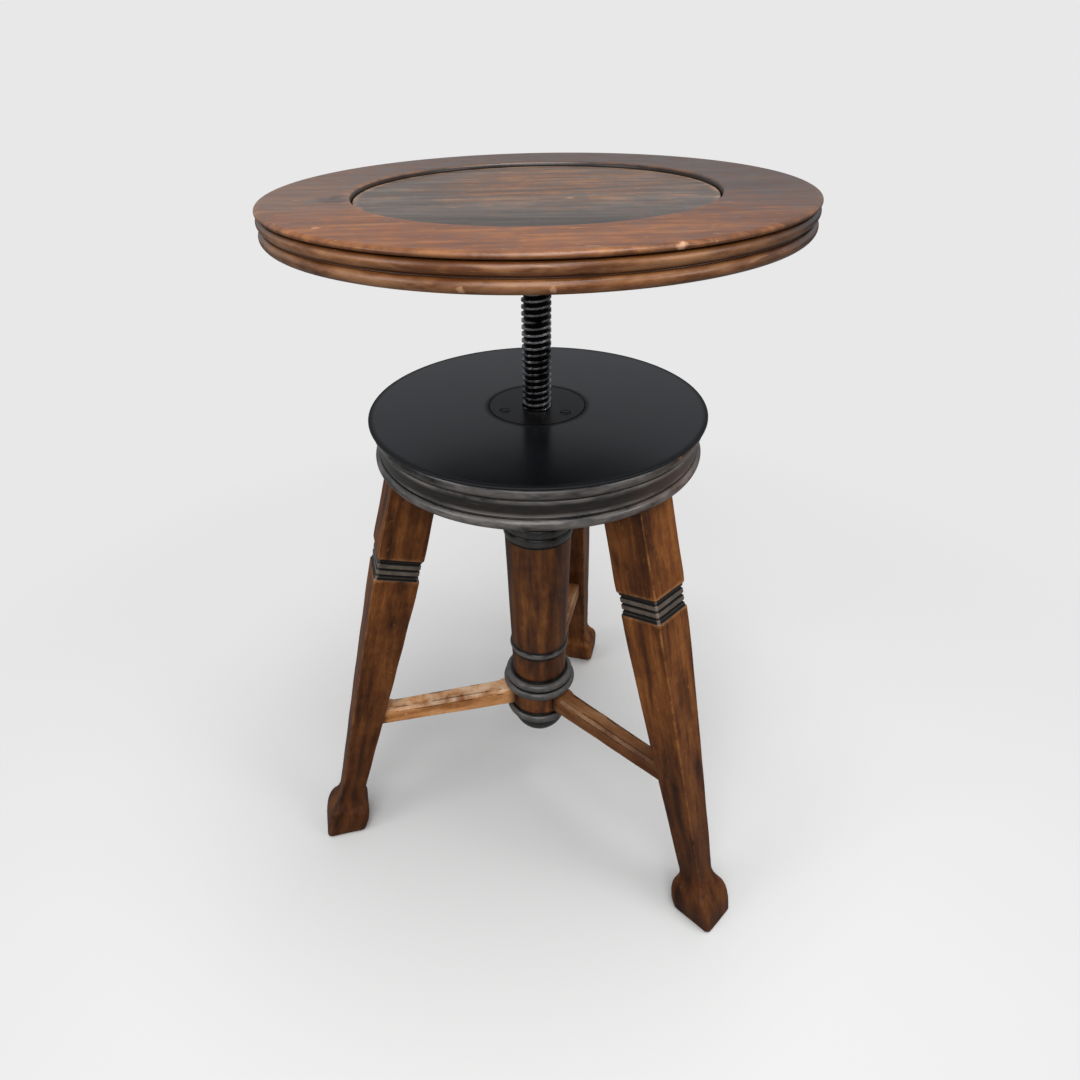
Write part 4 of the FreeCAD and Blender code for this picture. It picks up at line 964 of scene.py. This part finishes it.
# Dull, rough and nearly black, seen only from below or through the gap under the seat.
under_seat = ("seat_flange", "flange_screws", "flange_pin", "stop_washer", "stop_nut", "split_pin")
old_iron = iron("Iron, black with age", "#1b1a1a", "#2c2a2a", 0.6, 0.55)
dress([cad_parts[node] for node in under_seat], old_iron)

# %% [markdown]
# ## Floor, light and camera
# The photograph was taken on a seamless pale ground under large soft lamps. The floor is a wide disc
# that fades into the plain ground away from the stool, so that only the soft shadow near the feet
# is shaded. Light comes back from a darker paper, which keeps the legs and the underside as dark
# as in the photograph.

# %% Floor
GROUND = "#e8e8e8"


def make_floor(around=96):
    """A disc of rings round the stool, 40 m across, at floor level."""
    ring = np.linspace(0, 2 * np.pi, around, endpoint=False)
    radii = np.array([0.05, 0.5, 1, 2, 5, 20])
    points = np.stack([radii[:, None] * np.cos(ring), radii[:, None] * np.sin(ring),
                       np.full((len(radii), around), -0.0002)], -1).reshape(-1, 3)
    faces = grid_faces(len(radii), around).tolist() + [list(range(around))]
    mesh = bpy.data.meshes.new("studio_floor")
    mesh.from_pydata(points.tolist(), [], faces)
    floor = placed("studio_floor", mesh)
    print("floor", len(faces), "faces")
    return floor


floor = make_floor()
# Matt paper: no gloss, so that only the shadow shows on it.
paper = bare("Studio paper")
where = add(paper, "TexCoord").outputs["Object"]
far = add(paper, "VectorMath", where, operation="LENGTH")
fade = add(paper, "MapRange", far, 0.34, 0.93, 0.0, 1.0)
watched = add(paper, "LightPath").outputs["Is Camera Ray"]
both = add(paper, "MixShader", fade, add(paper, "BsdfDiffuse", "#d6d6d6"),
           add(paper, "Emission", GROUND, 1.0))
shown = add(paper, "MixShader", watched, add(paper, "BsdfDiffuse", "#7c7c7c"), both)
add(paper, "OutputMaterial", shown)
floor.data.materials.append(paper)

# %% World
world = bpy.data.worlds.new("Studio")
bpy.context.scene.world = world
world.use_nodes = True
world.node_tree.nodes.clear()
# The room lights the stool evenly, gloss mirrors a faint cool light, and the camera sees the ground.
path = add(world, "LightPath")
room = add(world, "Background", "#ffffff", 0.4)
mirrored = add(world, "Background", "#f4f8ff", 0.42)
lit = add(world, "MixShader", path.outputs["Is Glossy Ray"], room, mirrored)
seen = add(world, "Background", GROUND, 1.0)
add(world, "OutputWorld", add(world, "MixShader", path.outputs["Is Camera Ray"], lit, seen))
print("world", len(world.node_tree.nodes), "nodes")


# %% Lamps
def stand(thing, place, right, up, ahead):
    """Put a lamp or a camera at a place, with its right, up and back as the matrix columns."""
    rows = [[right[k], up[k], -ahead[k], place[k]] for k in range(3)]
    thing.matrix_world = Matrix(rows + [[0, 0, 0, 1]])


def soft_lamp(name, place, target, size, power):
    """A square area lamp that faces a target point."""
    data = bpy.data.lights.new(name, "AREA")
    data.size, data.energy = size, power
    ahead = np.array(target, float) - np.array(place, float)
    ahead /= np.linalg.norm(ahead)
    side = np.cross(ahead, [0, 0, 1.0])
    side /= np.linalg.norm(side)
    stand(placed(name, data), place, side, np.cross(side, ahead), ahead)
    print(name, power, "W")


soft_lamp("overhead_lamp", (0.2, -0.2, 2.6), (0, 0, 0.3), 1.4, 40)
soft_lamp("left_lamp", (-2.0, -1.1, 1.6), (0, 0, 0.4), 1.0, 11)
soft_lamp("right_lamp", (2.0, -1.1, 1.6), (0, 0, 0.4), 1.0, 10)
soft_lamp("front_lamp", (-0.2, -1.9, 2.1), (0, 0, 0.45), 1.5, 27)

# %% [markdown]
# The camera was found by fitting the ellipses of seat, head and beads and the corners of the feet.
# It stands close, a little above the seat, and looks down 36 degrees with a wide lens.

# %% Camera
YAW, PITCH_DOWN, ROLL = -0.031, 0.623, -0.026
FOCAL_PX, CENTRE_X, CENTRE_Y, FRAME_PX = 724.24, 520.0, 560.0, 1080.0
EYE, SENSOR = (0.0, -0.53187, 0.6883), 36.0
ahead = np.array([math.sin(YAW) * math.cos(PITCH_DOWN), math.cos(YAW) * math.cos(PITCH_DOWN),
                  -math.sin(PITCH_DOWN)])
level = np.array([math.cos(YAW), -math.sin(YAW), 0.0])
upright = np.cross(level, ahead)
across = math.cos(ROLL) * level + math.sin(ROLL) * upright
upwards = -math.sin(ROLL) * level + math.cos(ROLL) * upright
lens = bpy.data.cameras.new("view_of_the_photograph")
lens.sensor_width = SENSOR
lens.lens = FOCAL_PX / FRAME_PX * SENSOR
lens.shift_x = (FRAME_PX / 2 - CENTRE_X) / FRAME_PX
lens.shift_y = (CENTRE_Y - FRAME_PX / 2) / FRAME_PX
lens.clip_start = 0.01
camera = placed("view_of_the_photograph", lens)
stand(camera, EYE, across, upwards, ahead)
bpy.context.scene.camera = camera
bpy.context.scene.view_settings.view_transform = "Standard"
print("camera at", EYE, "with a lens of", round(lens.lens, 2), "mm")
